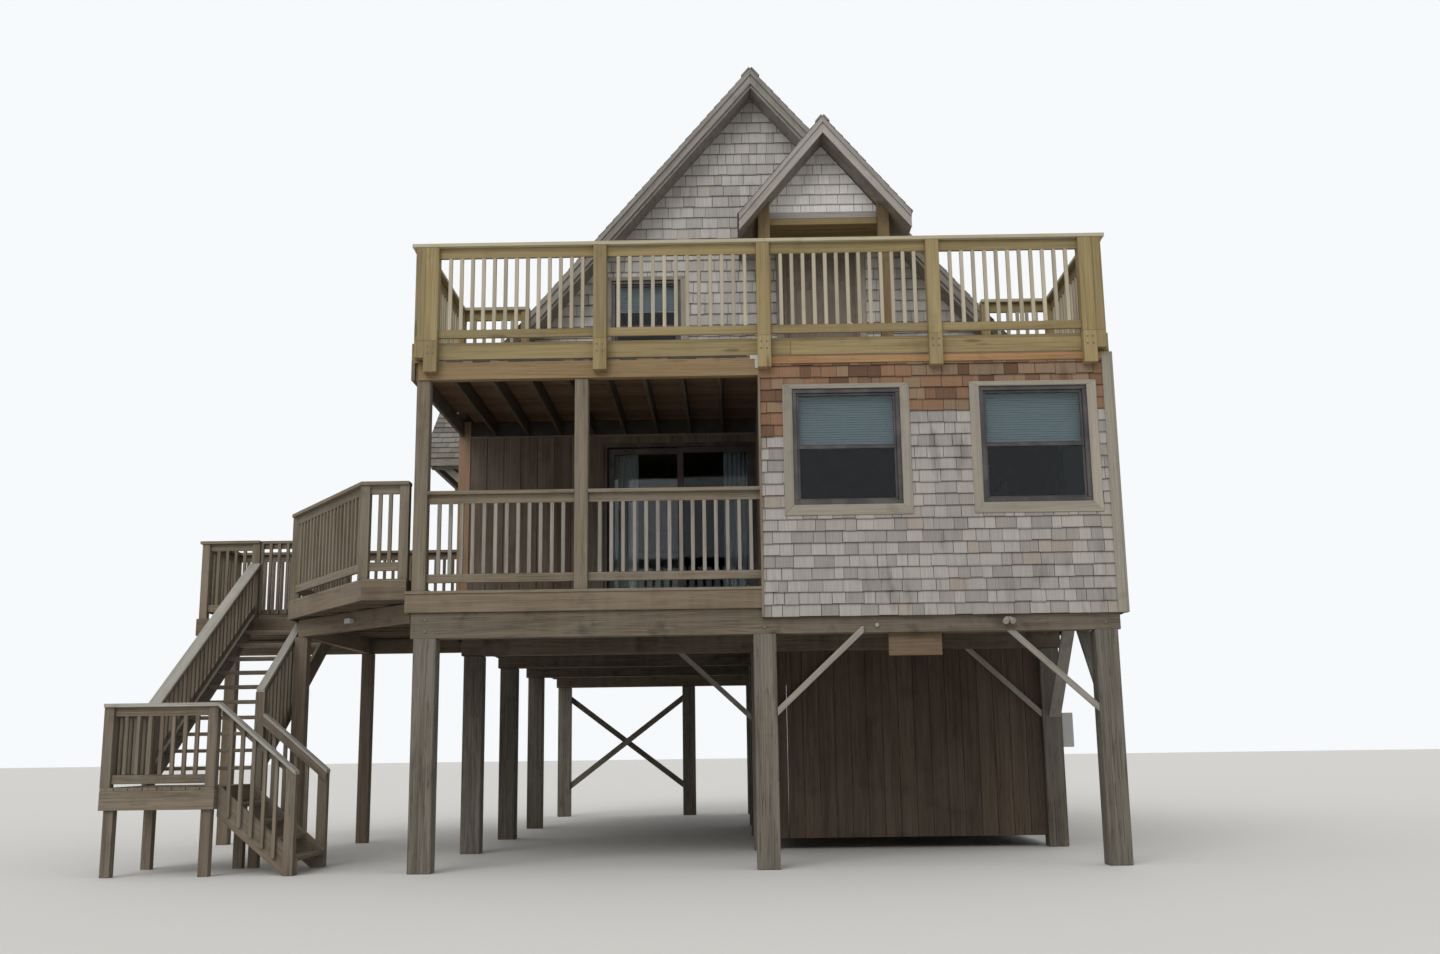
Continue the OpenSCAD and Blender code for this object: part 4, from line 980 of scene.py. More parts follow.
def cut_rect(rect: Rect, hole: Rect) -> list[Rect]:
    """What is left of a rectangle outside a hole.

    Args:
        rect: The rectangle, as low and high u then v.
        hole: The hole, in the same form.

    Returns:
        Up to four rectangles.
    """
    u0, u1, v0, v1 = rect
    a0, a1, b0, b1 = hole
    if u1 <= a0 or u0 >= a1 or v1 <= b0 or v0 >= b1:
        return [rect]
    inner = (max(u0, a0), min(u1, a1))
    parts = ((u0, a0, v0, v1), (a1, u1, v0, v1), (*inner, v0, b0), (*inner, b1, v1))
    return [p for p in parts if p[0] < p[1] and p[2] < p[3]]


def clip(shape: list[Point2], region: Sequence[Point2]) -> list[Point2]:
    """Cuts a shape to a convex region whose corners run anticlockwise.

    Args:
        shape: Corners of the shape.
        region: Corners of the region.

    Returns:
        Corners of what is left, or an empty list.
    """
    for a, b in zip(region, [*region[1:], region[0]]):
        side = lambda p: (b[0] - a[0]) * (p[1] - a[1]) - (b[1] - a[1]) * (p[0] - a[0])
        kept: list[Point2] = []
        for p, q in zip(shape, [*shape[1:], shape[0]]):
            sp, sq = side(p), side(q)
            if sp >= 0:
                kept.append(p)
            if sp * sq < 0:
                t = sp / (sp - sq)
                kept.append((p[0] + t * (q[0] - p[0]), p[1] + t * (q[1] - p[1])))
        shape = kept
        if len(shape) < 3:
            return []
    return shape


def area(shape: Sequence[Point2]) -> float:
    """Area of a flat shape."""
    return 0.5 * abs(sum(p[0] * q[1] - q[0] * p[1] for p, q in zip(shape, [*shape[1:], shape[0]])))


@dataclass(frozen=True)
class Plane:
    """A flat face: where it is, and which way right and up are seen from outside."""

    origin: Vector
    right: Vector
    up: Vector

    def at(self, u: float, v: float, out: float = 0.0) -> Vector:
        """The point u to the right, v up and out from the face."""
        return self.origin + self.right * u + self.up * v + self.right.cross(self.up) * out

    def lay(
        self, stock: Stock, shape: Sequence[Point2], out: float, back: float, along: Vector
    ) -> None:
        """Adds a board with this outline, whose sides stand out and back from the face."""
        stock.slab([self.at(*p, out) for p in shape], [self.at(*p, back) for p in shape], along)


def level(z: float, x: float = 0.0) -> Plane:
    """A level face at the height z, with u along X from x and v along Y."""
    return Plane(vec(x, 0, z), X, Y)


FRONT = Plane(vec(0, PLAN.front, 0), X, UP)
MAIN = Plane(vec(0, PLAN.main_y, 0), X, UP)
BACK = Plane(vec(0, PLAN.back, 0), -X, UP)
RIGHT = Plane(vec(PLAN.half_w, 0, 0), Y, UP)
LEFT = Plane(vec(-PLAN.half_w, 0, 0), -Y, UP)


class Cladding:
    """A face that is covered with shingles or boards."""

    def __init__(self, plane: Plane, *regions: list[Point2], holes: Sequence[Rect] = ()) -> None:
        """Keeps the face, the convex regions to cover and the holes to leave."""
        self.plane, self.regions, self.holes = plane, regions, holes

    def extent(self) -> Rect:
        """Low and high u then v of all the regions."""
        us, vs = zip(*(p for region in self.regions for p in region))
        return min(us), max(us), min(vs), max(vs)

    def pieces(self, rect: Rect) -> Iterable[list[Point2]]:
        """Cuts a rectangle by the holes and the regions.

        Args:
            rect: The rectangle.

        Yields:
            Corners of each part that is left.
        """
        rects = [rect]
        for hole in self.holes:
            rects = [r for whole in rects for r in cut_rect(whole, hole)]
        for part in rects:
            for region in self.regions:
                shape = clip(rectangle(part[:2], part[2:]), region)
                if shape and area(shape) > LEAST_AREA:
                    yield shape

    def shingle(
        self, pick: Callable[[float, float], Stock], exposure: float = 0.125,
        widths: Span = (0.09, 0.23), butt: float = 0.013, start: float | None = None
    ) -> None:
        """Lays courses of shingles.

        Args:
            pick: Says which stock a shingle at u, v goes into.
            exposure: Height of each course.
            widths: Narrowest and widest shingle.
            butt: Thickness of a shingle's low end.
            start: Where the first course starts, if not at the lowest region.
        """
        low_u, high_u, low_v, high_v = self.extent()
        rng = random.Random(f"{low_u:.3f}{high_v:.3f}{exposure}")
        base = low_v if start is None else start
        tip, lap = 0.003, 0.016
        for course in range(ceil((high_v - base) / exposure)):
            v = base + course * exposure
            u = low_u - rng.uniform(0.0, widths[1])
            while u < high_u:
                width = rng.uniform(*widths)
                foot = v + rng.uniform(-0.011, 0.007)
                thick = butt * rng.uniform(0.8, 1.15)
                rect = (u, u + width - rng.uniform(0.002, 0.007), foot, v + exposure + lap)
                for shape in self.pieces(rect):
                    rise = [(p[1] - v) / exposure for p in shape]
                    outs = (thick + (tip - thick) * max(0.0, r) for r in rise)
                    front = [self.plane.at(*p, out) for p, out in zip(shape, outs)]
                    back = [self.plane.at(*p) for p in shape]
                    pick(u, v).slab(front, back, self.plane.up, rise)
                u += width

    def plank(
        self, stock: Stock, width: float, gap: float, thick: float, upright: bool = True
    ) -> None:
        """Covers the face with boards side by side.

        Args:
            stock: Where the boards go.
            width: Spacing of the boards.
            gap: Gap between two boards.
            thick: How far they stand out, or back if it is negative.
            upright: Whether they run up the face.
        """
        low_u, high_u, low_v, high_v = self.extent()
        first, last = (low_u, high_u) if upright else (low_v, high_v)
        count = max(1, round((last - first) / width))
        step = (last - first) / count
        along = self.plane.up if upright else self.plane.right
        for i in range(count):
            a, b = first + i * step + gap / 2, first + (i + 1) * step - gap / 2
            rect = (a, b, low_v, high_v) if upright else (low_u, high_u, a, b)
            for shape in self.pieces(rect):
                proud = thick + (stock.rng.uniform(-0.0015, 0.0015) if thick > 0 else 0.0)
                self.plane.lay(stock, shape, max(proud, 0.0), min(proud, 0.0), along)


# Rails


def spaced(length: float) -> list[float]:
    """Distances of evenly spaced balusters along a length."""
    count = max(1, round(length / RailStyle.pitch) - 1)
    return [i * length / (count + 1) for i in range(1, count + 1)]


@dataclass(frozen=True)
class RailStyle:
    """Sizes of one kind of rail."""

    height: float
    top_h: float
    gap: float
    bottom_h: float = 0.089
    cap_w: float = 0.15
    cap_t: float = 0.038
    board_t: float = 0.038
    baluster: float = 0.038
    pitch: float = 0.119

    def panel(self, stock: Stock, a: Vector, b: Vector, sticks: Stock | None = None) -> None:
        """Adds two boards and the balusters between two posts.

        Args:
            stock: Where the pieces go.
            a: Foot of one end.
            b: Foot of the other end.
            sticks: Where the balusters go, if not into the same stock.
        """
        run = (b - a).normalized()
        side = run.cross(UP)
        top = self.height - self.cap_t
        for low, high in ((self.gap, self.gap + self.bottom_h), (top - self.top_h, top)):
            middle, half = UP * ((low + high) / 2), UP * ((high - low) / 2)
            stock.bar(a + middle, b + middle, side * self.board_t / 2, half)
        low, high = UP * (self.gap + self.bottom_h), UP * (top - self.top_h)
        for x in spaced((b - a).length):
            foot, half = a + run * x, self.baluster / 2
            (sticks or stock).bar(foot + low, foot + high, run * half, side * half)

    def cap(self, stock: Stock, a: Vector, b: Vector) -> None:
        """Adds a straight cap board.

        Args:
            stock: Where it goes.
            a: One end.
            b: The other end.
        """
        side = (b - a).normalized().cross(UP) * self.cap_w / 2
        lift = UP * (self.height - self.cap_t / 2)
        stock.bar(a + lift, b + lift, side, UP * self.cap_t / 2)

    def mitred_caps(self, stock: Stock, line: Sequence[Vector]) -> None:
        """Adds cap boards along a line, mitred where it turns.

        Args:
            stock: Where the boards go.
            line: Corners of the line, at the foot of the rail.
        """
        ways = [(b - a).normalized() for a, b in zip(line, line[1:])]
        lefts, rights = [], []
        for point, before, after in zip(line, [ways[0], *ways], [*ways, ways[-1]]):
            n, m = UP.cross(before), UP.cross(after)
            shift = (n + m) * (self.cap_w / 2) / (1 + n.dot(m))
            lefts.append(point + shift + UP * self.height)
            rights.append(point - shift + UP * self.height)
        for i, way in enumerate(ways):
            quad = [lefts[i], lefts[i + 1], rights[i + 1], rights[i]]
            stock.plate(quad, UP * -self.cap_t, way)


@dataclass(frozen=True)
class Fall:
    """A line that falls along a level run, from which boards and posts are set off."""

    head: Vector
    run: Vector
    slope: float
    side: Vector

    def at(self, x: float, up: float, out: float = 0.0) -> Vector:
        """The point x along the run, up from the line and out to its side."""
        return self.head + self.run * x + UP * (up - self.slope * x) + self.side * out

    def board(self, stock: Stock, x: Span, out: Span, top: float, thick: float) -> None:
        """Adds a board with plumb ends, its top edge at the height top over the line."""
        corners = [self.at(*c, out[0]) for c in rectangle(x, (top, top - thick))]
        stock.plate(corners, self.side * (out[1] - out[0]), self.at(1.0, 0.0) - self.head)

    def balusters(self, stock: Stock, x: Span, out: Span, top: float, low: float) -> None:
        """Adds upright balusters.

        Args:
            stock: Where they go.
            x: The distances along the run that they stand between.
            out: Limits of their thickness, out to the side.
            top: Height of their top over the line.
            low: Height of their foot over the line.
        """
        wide = self.run * RailStyle.baluster / 2
        for d in spaced(x[1] - x[0]):
            foot = self.at(x[0] + d, low, sum(out) / 2)
            stock.bar(foot, foot + UP * (top - low), wide, self.side * (out[1] - out[0]) / 2)

    def post(self, stock: Stock, x: Span, half: float, foot: float, top: float) -> None:
        """Adds a post with its top cut to the slope.

        Args:
            stock: Where it goes.
            x: Its limits along the run.
            half: Half of its thickness.
            foot: Height that it stands at.
            top: Height of its top over the line.
        """
        low = [vec(*self.at(d, 0.0, -half).xy, foot) for d in x]
        high = [self.at(d, top, -half) for d in reversed(x)]
        stock.plate([*low, *high], self.side * 2 * half, UP)


# Sub-assemblies


@dataclass
class Assembly:
    """A part of the house, with the workshop that its pieces come from."""

    shop: Workshop


@dataclass
class UnderHouse(Assembly):
    """Piles, girders, braces, floor frame and the store between the piles."""

    girder_t: float = 0.19
    girder_in: float = 0.06
    plies: int = 3
    ply_gap: float = 0.002
    brace_land: float = 1.49
    brace_w: float = 0.06
    brace_lap: float = 0.06
    cross_w: float = 0.09
    cross_z: Span = (0.48, 2.03)
    prop_x: float = 3.41
    prop_w: float = 0.14
    store_z: float = 0.13
    store_t: float = 0.045
    joist_pitch: float = 0.6
    lamp_x: float = 2.465

    def build(self) -> None:
        """Makes every piece under the floor."""
        self._piles()
        self._girders()
        self._braces()
        self._floor_frame()
        self._store()
        self._lamps()
        self.shop.dress("meter_box", Look.BOX, bevel=0.006)

    def _lamps(self) -> None:
        """The bare board, the twin lamp and the small lamp at the front girder."""
        board, metal, lamps = stocks("bare_board", "lamp_conduit", "girder_lamps")
        board.block((1.26, 1.8), (-0.019, 0.019), (2.08, PLAN.girder_z + 0.02), X)
        face = -self.girder_t / 2
        low = PLAN.girder_z + 0.012
        flat = (face - 0.014, face + 0.004)
        metal.block((1.84, 2.44), flat, (low - 0.009, low + 0.009))
        metal.block((2.424, 2.44), flat, (low + 0.009, 2.41))
        metal.disc(vec(self.lamp_x, face - 0.015, 2.42), -Y, 0.04, 0.02, 20)
        for s in (-1, 1):
            aim = vec(0.35 * s, -0.8, -0.45).normalized()
            tip = vec(self.lamp_x + 0.035 * s, face - 0.075, 2.4)
            lamps.disc(tip, aim, 0.026, 0.065, 20)
            lamps.disc(tip + aim * 0.01, aim, 0.032, 0.024, 20)
        lamps.disc(vec(1.138, face - 0.02, 2.385), -Y, 0.022, 0.025, 16)
        board.build(self.shop, Look.FLOOR, "frame_wood")
        metal.build(self.shop, Look.GIRDER, "box_grey", bevel=0.002)
        lamps.build(self.shop, Look.LAMP, "box_grey", bevel=0.003)

    def _piles(self) -> None:
        """Square piles, each its own shade."""
        stock = Stock("pile_timbers")
        places = [(x, y) for y in PLAN.rows for x in (-PLAN.pile_x, 0.0, PLAN.pile_x)]
        places += [(s * PLAN.rear_pile_x, PLAN.rows[-1]) for s in (-1, 1)]
        for x, y in places:
            stock.post(x, y, (0.0, PLAN.girder_z), PLAN.pile)
        stock.build(self.shop, Look.PILE, "pile_wood", "piles", bevel=0.008)

    def _girders(self) -> None:
        """Girders of planks side by side, with bolt heads at the outer piles."""
        stock, bolts = stocks("girder_planks", "girder_bolts")
        ply, gap = self.girder_t / self.plies, self.ply_gap
        end, z = PLAN.half_w - self.girder_in, (PLAN.girder_z, PLAN.frame_z)
        for y in PLAN.rows:
            for i in range(self.plies):
                low = y - self.girder_t / 2 + i * ply
                stock.block((-end, end), (low + gap / 2, low + ply - gap / 2), z)
        face = PLAN.rows[0] - self.girder_t / 2 - 0.008
        for x in (-PLAN.pile_x, 0.0, PLAN.pile_x):
            for up in (0.07, 0.19):
                bolts.disc(vec(x, face, PLAN.girder_z + up), -Y, 0.018, 0.01)
        stock.build(self.shop, Look.GIRDER, "frame_wood", "girders")
        bolts.build(self.shop, Look.BOLT, "box_grey", bevel=0.002)

    def _braces(self) -> None:
        """Knee braces at the front rows, planks from front to back, and the crossed braces."""
        knees, props, crossed = stocks("brace_boards", "brace_planks", "crossed_braces")
        half_pile, t, lap = PLAN.pile / 2, PLAN.board_t, self.brace_lap
        land, high = self.brace_land, PLAN.girder_z
        rise = high - land
        run = rise * 1.08
        slope = rise / run
        tall = self.brace_w * hypot(1.0, slope)
        plain = [(0, land), (run, high), (run - tall / slope, high), (0, land + tall)]
        lapped = [*plain[:2], (run, high + lap), (run + (lap - tall) / slope, high + lap), plain[3]]
        rows = [row - self.girder_t / 2 for row in PLAN.rows[:2]]
        inner = PLAN.pile_x - half_pile
        for side, face, y, outline in (
            (1, half_pile, rows[0] - t, lapped), (1, half_pile, rows[1], plain),
            (-1, inner, rows[0], plain), (-1, inner, rows[1], plain),
            (-1, -half_pile, rows[1], plain)
        ):
            corners = [vec(face + side * u, y, z) for u, z in outline]
            knees.plate(corners, Y * t, vec(side * run, 0, rise))
        rise, tall = PLAN.frame_z - land, t * sqrt(2)
        outline = [(0, land), (rise, PLAN.frame_z), (rise - tall, PLAN.frame_z), (0, land + tall)]
        for start, side in ((PLAN.rows[0] + half_pile, 1), (PLAN.rows[1] - half_pile, -1)):
            corners = [vec(self.prop_x, start + side * u, z) for u, z in outline]
            props.plate(corners, X * self.prop_w, vec(0, side, 1))
        tall, (low, high) = self.cross_w * hypot(1.0, slope), self.cross_z
        x0, x1 = -PLAN.pile_x + half_pile, -PLAN.rear_pile_x - half_pile
        for a, b, dy in ((x0, x1, -PLAN.pile / 4), (x1, x0, PLAN.pile / 4)):
            outline = [(a, low), (b, high), (b, high + tall), (a, low + tall)]
            corners = [vec(u, PLAN.rows[-1] + dy, z) for u, z in outline]
            crossed.plate(corners, Y * t, vec(b - a, 0, high - low))
        for stock, look in ((knees, Look.BRACE), (props, Look.BRACE), (crossed, Look.PILE)):
            stock.build(self.shop, look, "weathered_wood", "knee_braces")

    def _floor_frame(self) -> None:
        """Rim boards and joists of the floor."""
        rims, joists = stocks("floor_rims", "floor_joists")
        z = (PLAN.frame_z, PLAN.board_z)
        w, f, t, skirt = PLAN.half_w, PLAN.front, PLAN.board_t, PLAN.skirt
        side, end = w - skirt, PLAN.back - skirt
        rims.block((-w, 0.0), (f, f + t), z)
        rims.block((-w, -w + t), (f + t, PLAN.main_y), z)
        rims.block((0.0, side), (f + skirt, f + skirt + t), z)
        for i in range(3):
            rims.block((-side + i * t, -side + (i + 1) * t), (PLAN.main_y, end - t), z)
            rims.block((side - (i + 1) * t, side - i * t), (f + skirt + t, end - t), z)
        rims.block((-side, side), (end - t, end), z)
        count = int(2 * (w - self.joist_pitch) / self.joist_pitch) + 1
        for i in range(count):
            x = -w + self.joist_pitch * (i + 1)
            start = f + t + (0.0 if x < 0 else skirt)
            joists.block((x - t / 2, x + t / 2), (start, end - t), z)
        rims.build(self.shop, Look.FRAME, "frame_wood", "floor_frame")
        joists.build(self.shop, Look.UNDER, "frame_wood", "floor_frame")

    def _store(self) -> None:
        """Board walls of the store."""
        stock, t = Stock("store_planks"), self.store_t
        half_pile = PLAN.pile / 2
        x = (half_pile, PLAN.pile_x - half_pile)
        walls = [
            (vec(0, PLAN.rows[1] - t, 0), X, x), (vec(0, PLAN.rows[3] + t, 0), -X, (-x[1], -x[0]))
        ]
        for i in (1, 2):
            low, high = PLAN.rows[i] + half_pile, PLAN.rows[i + 1] - half_pile
            walls.append((vec(PLAN.pile_x + t / 2, 0, 0), Y, (low, high)))
            walls.append((vec(-t / 2, 0, 0), -Y, (-high, -low)))
        for origin, right, span in walls:
            shape = rectangle(span, (self.store_z, PLAN.girder_z))
            Cladding(Plane(origin, right, UP), shape).plank(stock, 0.19, 0.004, -t)
        stock.build(self.shop, Look.STORE, "store_boards", "store_walls", bevel=0.002)


@dataclass(frozen=True)
class Window:
    """One sash window and its place on a wall."""

    plane: Plane
    u: float
    width: float = 1.12
    sill: float = 3.62
    height: float = 1.23
    blind: float = 0.5

    @property
    def across(self) -> Span:
        """Its left and right edge on the wall."""
        return (self.u - self.width / 2, self.u + self.width / 2)

    @property
    def upright(self) -> Span:
        """Its foot and its head."""
        return (self.sill, self.sill + self.height)

    @property
    def hole(self) -> Rect:
        """The hole that shingles keep out of, hidden by the casing."""
        half = self.width / 2 + 0.05
        return (self.u - half, self.u + half, self.sill - 0.06, self.sill + self.height + 0.04)


@dataclass
class Windows(Assembly):
    """Every window: frame, sashes, casing and blind."""

    frame_w: float = 0.045
    frame_d: float = 0.09
    sash_w: float = 0.024
    casing_w: float = 0.1
    casing_t: float = 0.022
    meeting_h: float = 0.044
    slat_pitch: float = 0.026

    places: tuple[Window, ...] = (
        Window(FRONT, 0.89), Window(FRONT, 2.835), Window(RIGHT, 1.245, blind=1.0),
        Window(RIGHT, 5.41, blind=1.0), Window(RIGHT, 9.13, blind=1.0),
        Window(LEFT, -9.13, blind=1.0), Window(BACK, 1.83, blind=1.0),
        Window(BACK, -1.83, blind=1.0), Window(MAIN, -1.36, 0.87, 5.81, 1.2, 0.3),
        Window(BACK, 0.0, 0.87, 5.81, 1.2, 0.3)
    )

    def on(self, plane: Plane) -> list[Rect]:
        """Holes of the windows on one wall."""
        return [w.hole for w in self.places if w.plane is plane]

    def build(self) -> None:
        """Makes the frames, casings and blinds."""
        frames, casings, blinds = stocks("sash_frames", "window_boards", "blinds")
        for window in self.places:
            self._frame(frames, window)
            self._casing(casings, window)
            self._blind(blinds, window)
        frames.build(self.shop, Look.DARK_FRAME, "window_dark", "window_frames")
        casings.build(self.shop, Look.TRIM, "trim_wood", "window_trim")
        blinds.build(self.shop, Look.BLIND, "curtain_cloth", bevel=0.0)
        self.shop.dress("window_glass", Look.SASH_GLASS)

    def _piece(self, stock: Stock, w: Window, u: Span, v: Span, d: Span) -> None:
        """Adds a box on a window's wall; d is how far in its faces are."""
        along = w.plane.right if u[1] - u[0] > v[1] - v[0] else UP
        w.plane.lay(stock, rectangle(u, v), -d[0], -d[1], along)

    def _ring(self, stock: Stock, w: Window, u: Span, v: Span, width: float, d: Span) -> None:
        """Adds four boards round a hole, the upright ones between the level ones.

        Args:
            stock: Where they go.
            w: The window.
            u: Limits of the ring across the wall.
            v: Limits of the ring up the wall.
            width: Width of the boards.
            d: How far in their faces are.
        """
        inner = (v[0] + width, v[1] - width)
        self._piece(stock, w, u, (inner[1], v[1]), d)
        self._piece(stock, w, u, (v[0], inner[0]), d)
        self._piece(stock, w, (u[0], u[0] + width), inner, d)
        self._piece(stock, w, (u[1] - width, u[1]), inner, d)

    def _frame(self, stock: Stock, w: Window) -> None:
        """Adds the outer frame and two sashes of a window.

        Args:
            stock: Where its pieces go.
            w: The window.
        """
        f, half = self.frame_w, self.meeting_h / 2
        (left, right), (low, high) = w.across, w.upright
        middle, inner = (low + high) / 2, (left + f, right - f)
        self._ring(stock, w, w.across, w.upright, f, (0.0, self.frame_d))
        self._ring(stock, w, inner, (middle - half, high - f), self.sash_w, (0.022, 0.052))
        self._ring(stock, w, inner, (low + f, middle + half), self.sash_w, (0.03, 0.06))

    def _casing(self, stock: Stock, w: Window) -> None:
        """Adds four mitred boards round a window.

        Args:
            stock: Where its pieces go.
            w: The window.
        """
        (left, right), (low, high), c = w.across, w.upright, self.casing_w
        inner = rectangle(w.across, w.upright)
        outer = rectangle((left - c, right + c), (low - 1.1 * c, high + 0.5 * c))
        for i, j in ((0, 1), (1, 2), (2, 3), (3, 0)):
            shape = (outer[i], outer[j], inner[j], inner[i])
            w.plane.lay(stock, shape, self.casing_t, 0.0, UP if i % 2 else w.plane.right)

    def _blind(self, stock: Stock, w: Window) -> None:
        """Adds slats that hang from the head behind the glass.

        Args:
            stock: Where its pieces go.
            w: The window.
        """
        half = w.width / 2 - self.frame_w - 0.01
        top = w.upright[1] - self.frame_w - 0.01
        depth = self.frame_d + 0.012
        reach = min(w.blind * w.height - 0.045, w.height - 2 * self.frame_w - 0.05)
        box = (depth - 0.015, depth + 0.015)
        self._piece(stock, w, (w.u - half, w.u + half), (top - 0.03, top), box)
        side = w.plane.right * half
        for i in range(int(reach / self.slat_pitch)):
            v = top - 0.04 - i * self.slat_pitch
            near = w.plane.at(w.u, v - 0.0125, -depth + 0.004)
            far = w.plane.at(w.u, v + 0.0125, -depth - 0.004)
            slope, middle = (far - near) / 2, (near + far) / 2
            thin = slope.cross(side).normalized() * 0.0006
            stock.bar(middle - side, middle + side, slope, thin)


@dataclass
class Walls(Assembly):
    """Shingled walls, corner boards, the porch's board walls and their trim."""

    windows: Windows
    corner: float = 0.09
    corner_t: float = 0.024
    band_h: float = 0.075
    board_w: float = 0.205
    board_gap: float = 0.006
    board_out: float = 0.016
    casing_w: float = 0.09
    casing_t: float = 0.02
    door_half: float = 0.475
    door_h: float = 2.075
    entry: tuple[Plane, float, float] = (LEFT, -4.57, PLAN.left_z)
    upper: tuple[Plane, float, float] = (MAIN, 0.85, PLAN.deck_z)
    deck_end: float = 5.17
    pediment: tuple[Point2, ...] = ((-0.795, 7.58), (-0.735, 7.58), (0.735, 7.58), (0.0, 8.47))

    def build(self) -> None:
        """Covers every wall."""
        # Wall cores take the near-black backing, painted shade for the rooms seen through the
        # windows and the glass door.
        for node in (
            "bay_front_wall", "right_wall", "left_wall", "back_wall", "front_gable_wall",
            "back_gable_wall", "bay_side_wall", "porch_wall", "wall_over_slider"
        ):
            self.shop.dress(node, Look.PAINTED_SHADE_BACKING)
        for node in ("interior_floor", "upper_floor"):
            self.shop.dress(node, Look.FLOOR, GrainFrom.ALONG_Y)
        self._shingles()
        self._corners()
        self._porch_boards()

    def _holes(self, plane: Plane) -> list[Rect]:
        """Finds the holes of the windows and doors on one wall.

        Args:
            plane: The wall.

        Returns:
            The holes.
        """
        half, holes = self.door_half + 0.05, self.windows.on(plane)
        for wall, u, v in (self.entry, self.upper):
            if wall is plane:
                holes.append((u - half, u + half, v - 0.1, v + self.door_h + 0.04))
        return holes

    def _shingles(self) -> None:
        """Wall shingles, with newer courses at the top of the front room."""
        old, new = stocks("wall_shingles_old", "wall_shingles_new")
        gable, face = stocks("gable_shingles", "pediment_shingles")
        c, low, top = self.corner, PLAN.skirt_z, PLAN.plate_z

        def newer(u: float, v: float) -> Stock:
            """Picks new shingles at the top, further down by the windows.

            Args:
                u: Place along the wall.
                v: Height on the wall.

            Returns:
                The stock that the shingle belongs to.
            """
            steps = ((0.3, 4.4), (1.4, 4.84), (2.3, 4.61), (3.35, 4.84), (PLAN.half_w, 4.61))
            limit = next(z for edge, z in steps if u < edge)
            return new if v > limit - 0.06 else old

        def cover(
            plane: Plane, *shapes: list[Point2], pick: Any = lambda u, v: old, **laying: Any
        ) -> None:
            """Covers shapes on one wall, with old shingles if no others are picked."""
            Cladding(plane, *shapes, holes=self._holes(plane)).shingle(pick, **laying)

        cover(FRONT, rectangle((0.0, PLAN.half_w - c), (low, top - self.band_h)), pick=newer)
        cover(RIGHT, rectangle((PLAN.front + c, PLAN.back - c), (low, top)))
        cover(
            LEFT, rectangle((-self.deck_end, -PLAN.main_y - 0.01), (PLAN.left_z, top)),
            rectangle((-PLAN.back + c, -self.deck_end), (low, top)), start=low
        )
        edge = PLAN.half_w - c
        eave, peak = PLAN.roof_under(edge), (0, PLAN.roof_under(0))
        cover(BACK, [(-edge, low), (edge, low), (edge, eave), peak, (-edge, eave)])
        foot = (PLAN.roof_under(0) - PLAN.deck_z) / tan(PLAN.roof_angle)
        gable_shape = [(-foot, PLAN.deck_z), (foot, PLAN.deck_z), peak]
        cover(MAIN, gable_shape, pick=lambda u, v: gable, exposure=0.143)
        # The pediment takes the lighter copy of the gable shingles, painted light against the shade
        # of its rake.
        front = Plane(vec(0.85, 1.92, 0), X, UP)
        cover(front, list(self.pediment), pick=lambda u, v: face, exposure=0.13)
        for stock, look in (
            (face, Look.PEDIMENT_SHINGLES), (old, Look.WALL_SHINGLES), (new, Look.NEW_SHINGLES),
            (gable, Look.GABLE_SHINGLES)
        ):
            stock.build(self.shop, look, "wall_shingles", bevel=0.0)

    def _corners(self) -> None:
        """Corner boards, the band under the roof deck and the door casings."""
        stock, band = stocks("corner_boards", "cedar_band")
        c, t, top = self.corner, self.corner_t, PLAN.plate_z
        z = (PLAN.skirt_z, top)
        w, f, b = PLAN.half_w, PLAN.front, PLAN.back
        stock.block((w - c, w), (f - t, f), z)
        stock.block((w, w + t), (f - t, f + c), z)
        for s in (-1, 1):
            stock.block((w, w + t) if s > 0 else (-w - t, -w), (b - c, b + t), z)
            stock.block((w - c, w) if s > 0 else (-w, -w + c), (b, b + t), z)
        band.block((0.0, w - c), (f - t, f), (top - self.band_h, top), X)
        self._door_casing(stock, *self.entry)
        self._door_casing(stock, *self.upper)
        stock.build(self.shop, Look.TRIM, "trim_wood")
        band.build(self.shop, Look.BAND, "frame_wood")

    def _door_casing(self, stock: Stock, plane: Plane, u: float, v: float) -> None:
        """Adds three boards round a door.

        Args:
            stock: Where they go.
            plane: The door's wall.
            u: Middle of the door.
            v: Foot of the door.
        """
        half, wide, t, head = self.door_half, self.casing_w, self.casing_t, v + self.door_h
        outer = (u - half - wide, u + half + wide)
        for span in ((outer[0], u - half), (u + half, outer[1])):
            plane.lay(stock, rectangle(span, (v, head)), t, 0.0, UP)
        plane.lay(stock, rectangle(outer, (head, head + wide)), t, 0.0, plane.right)

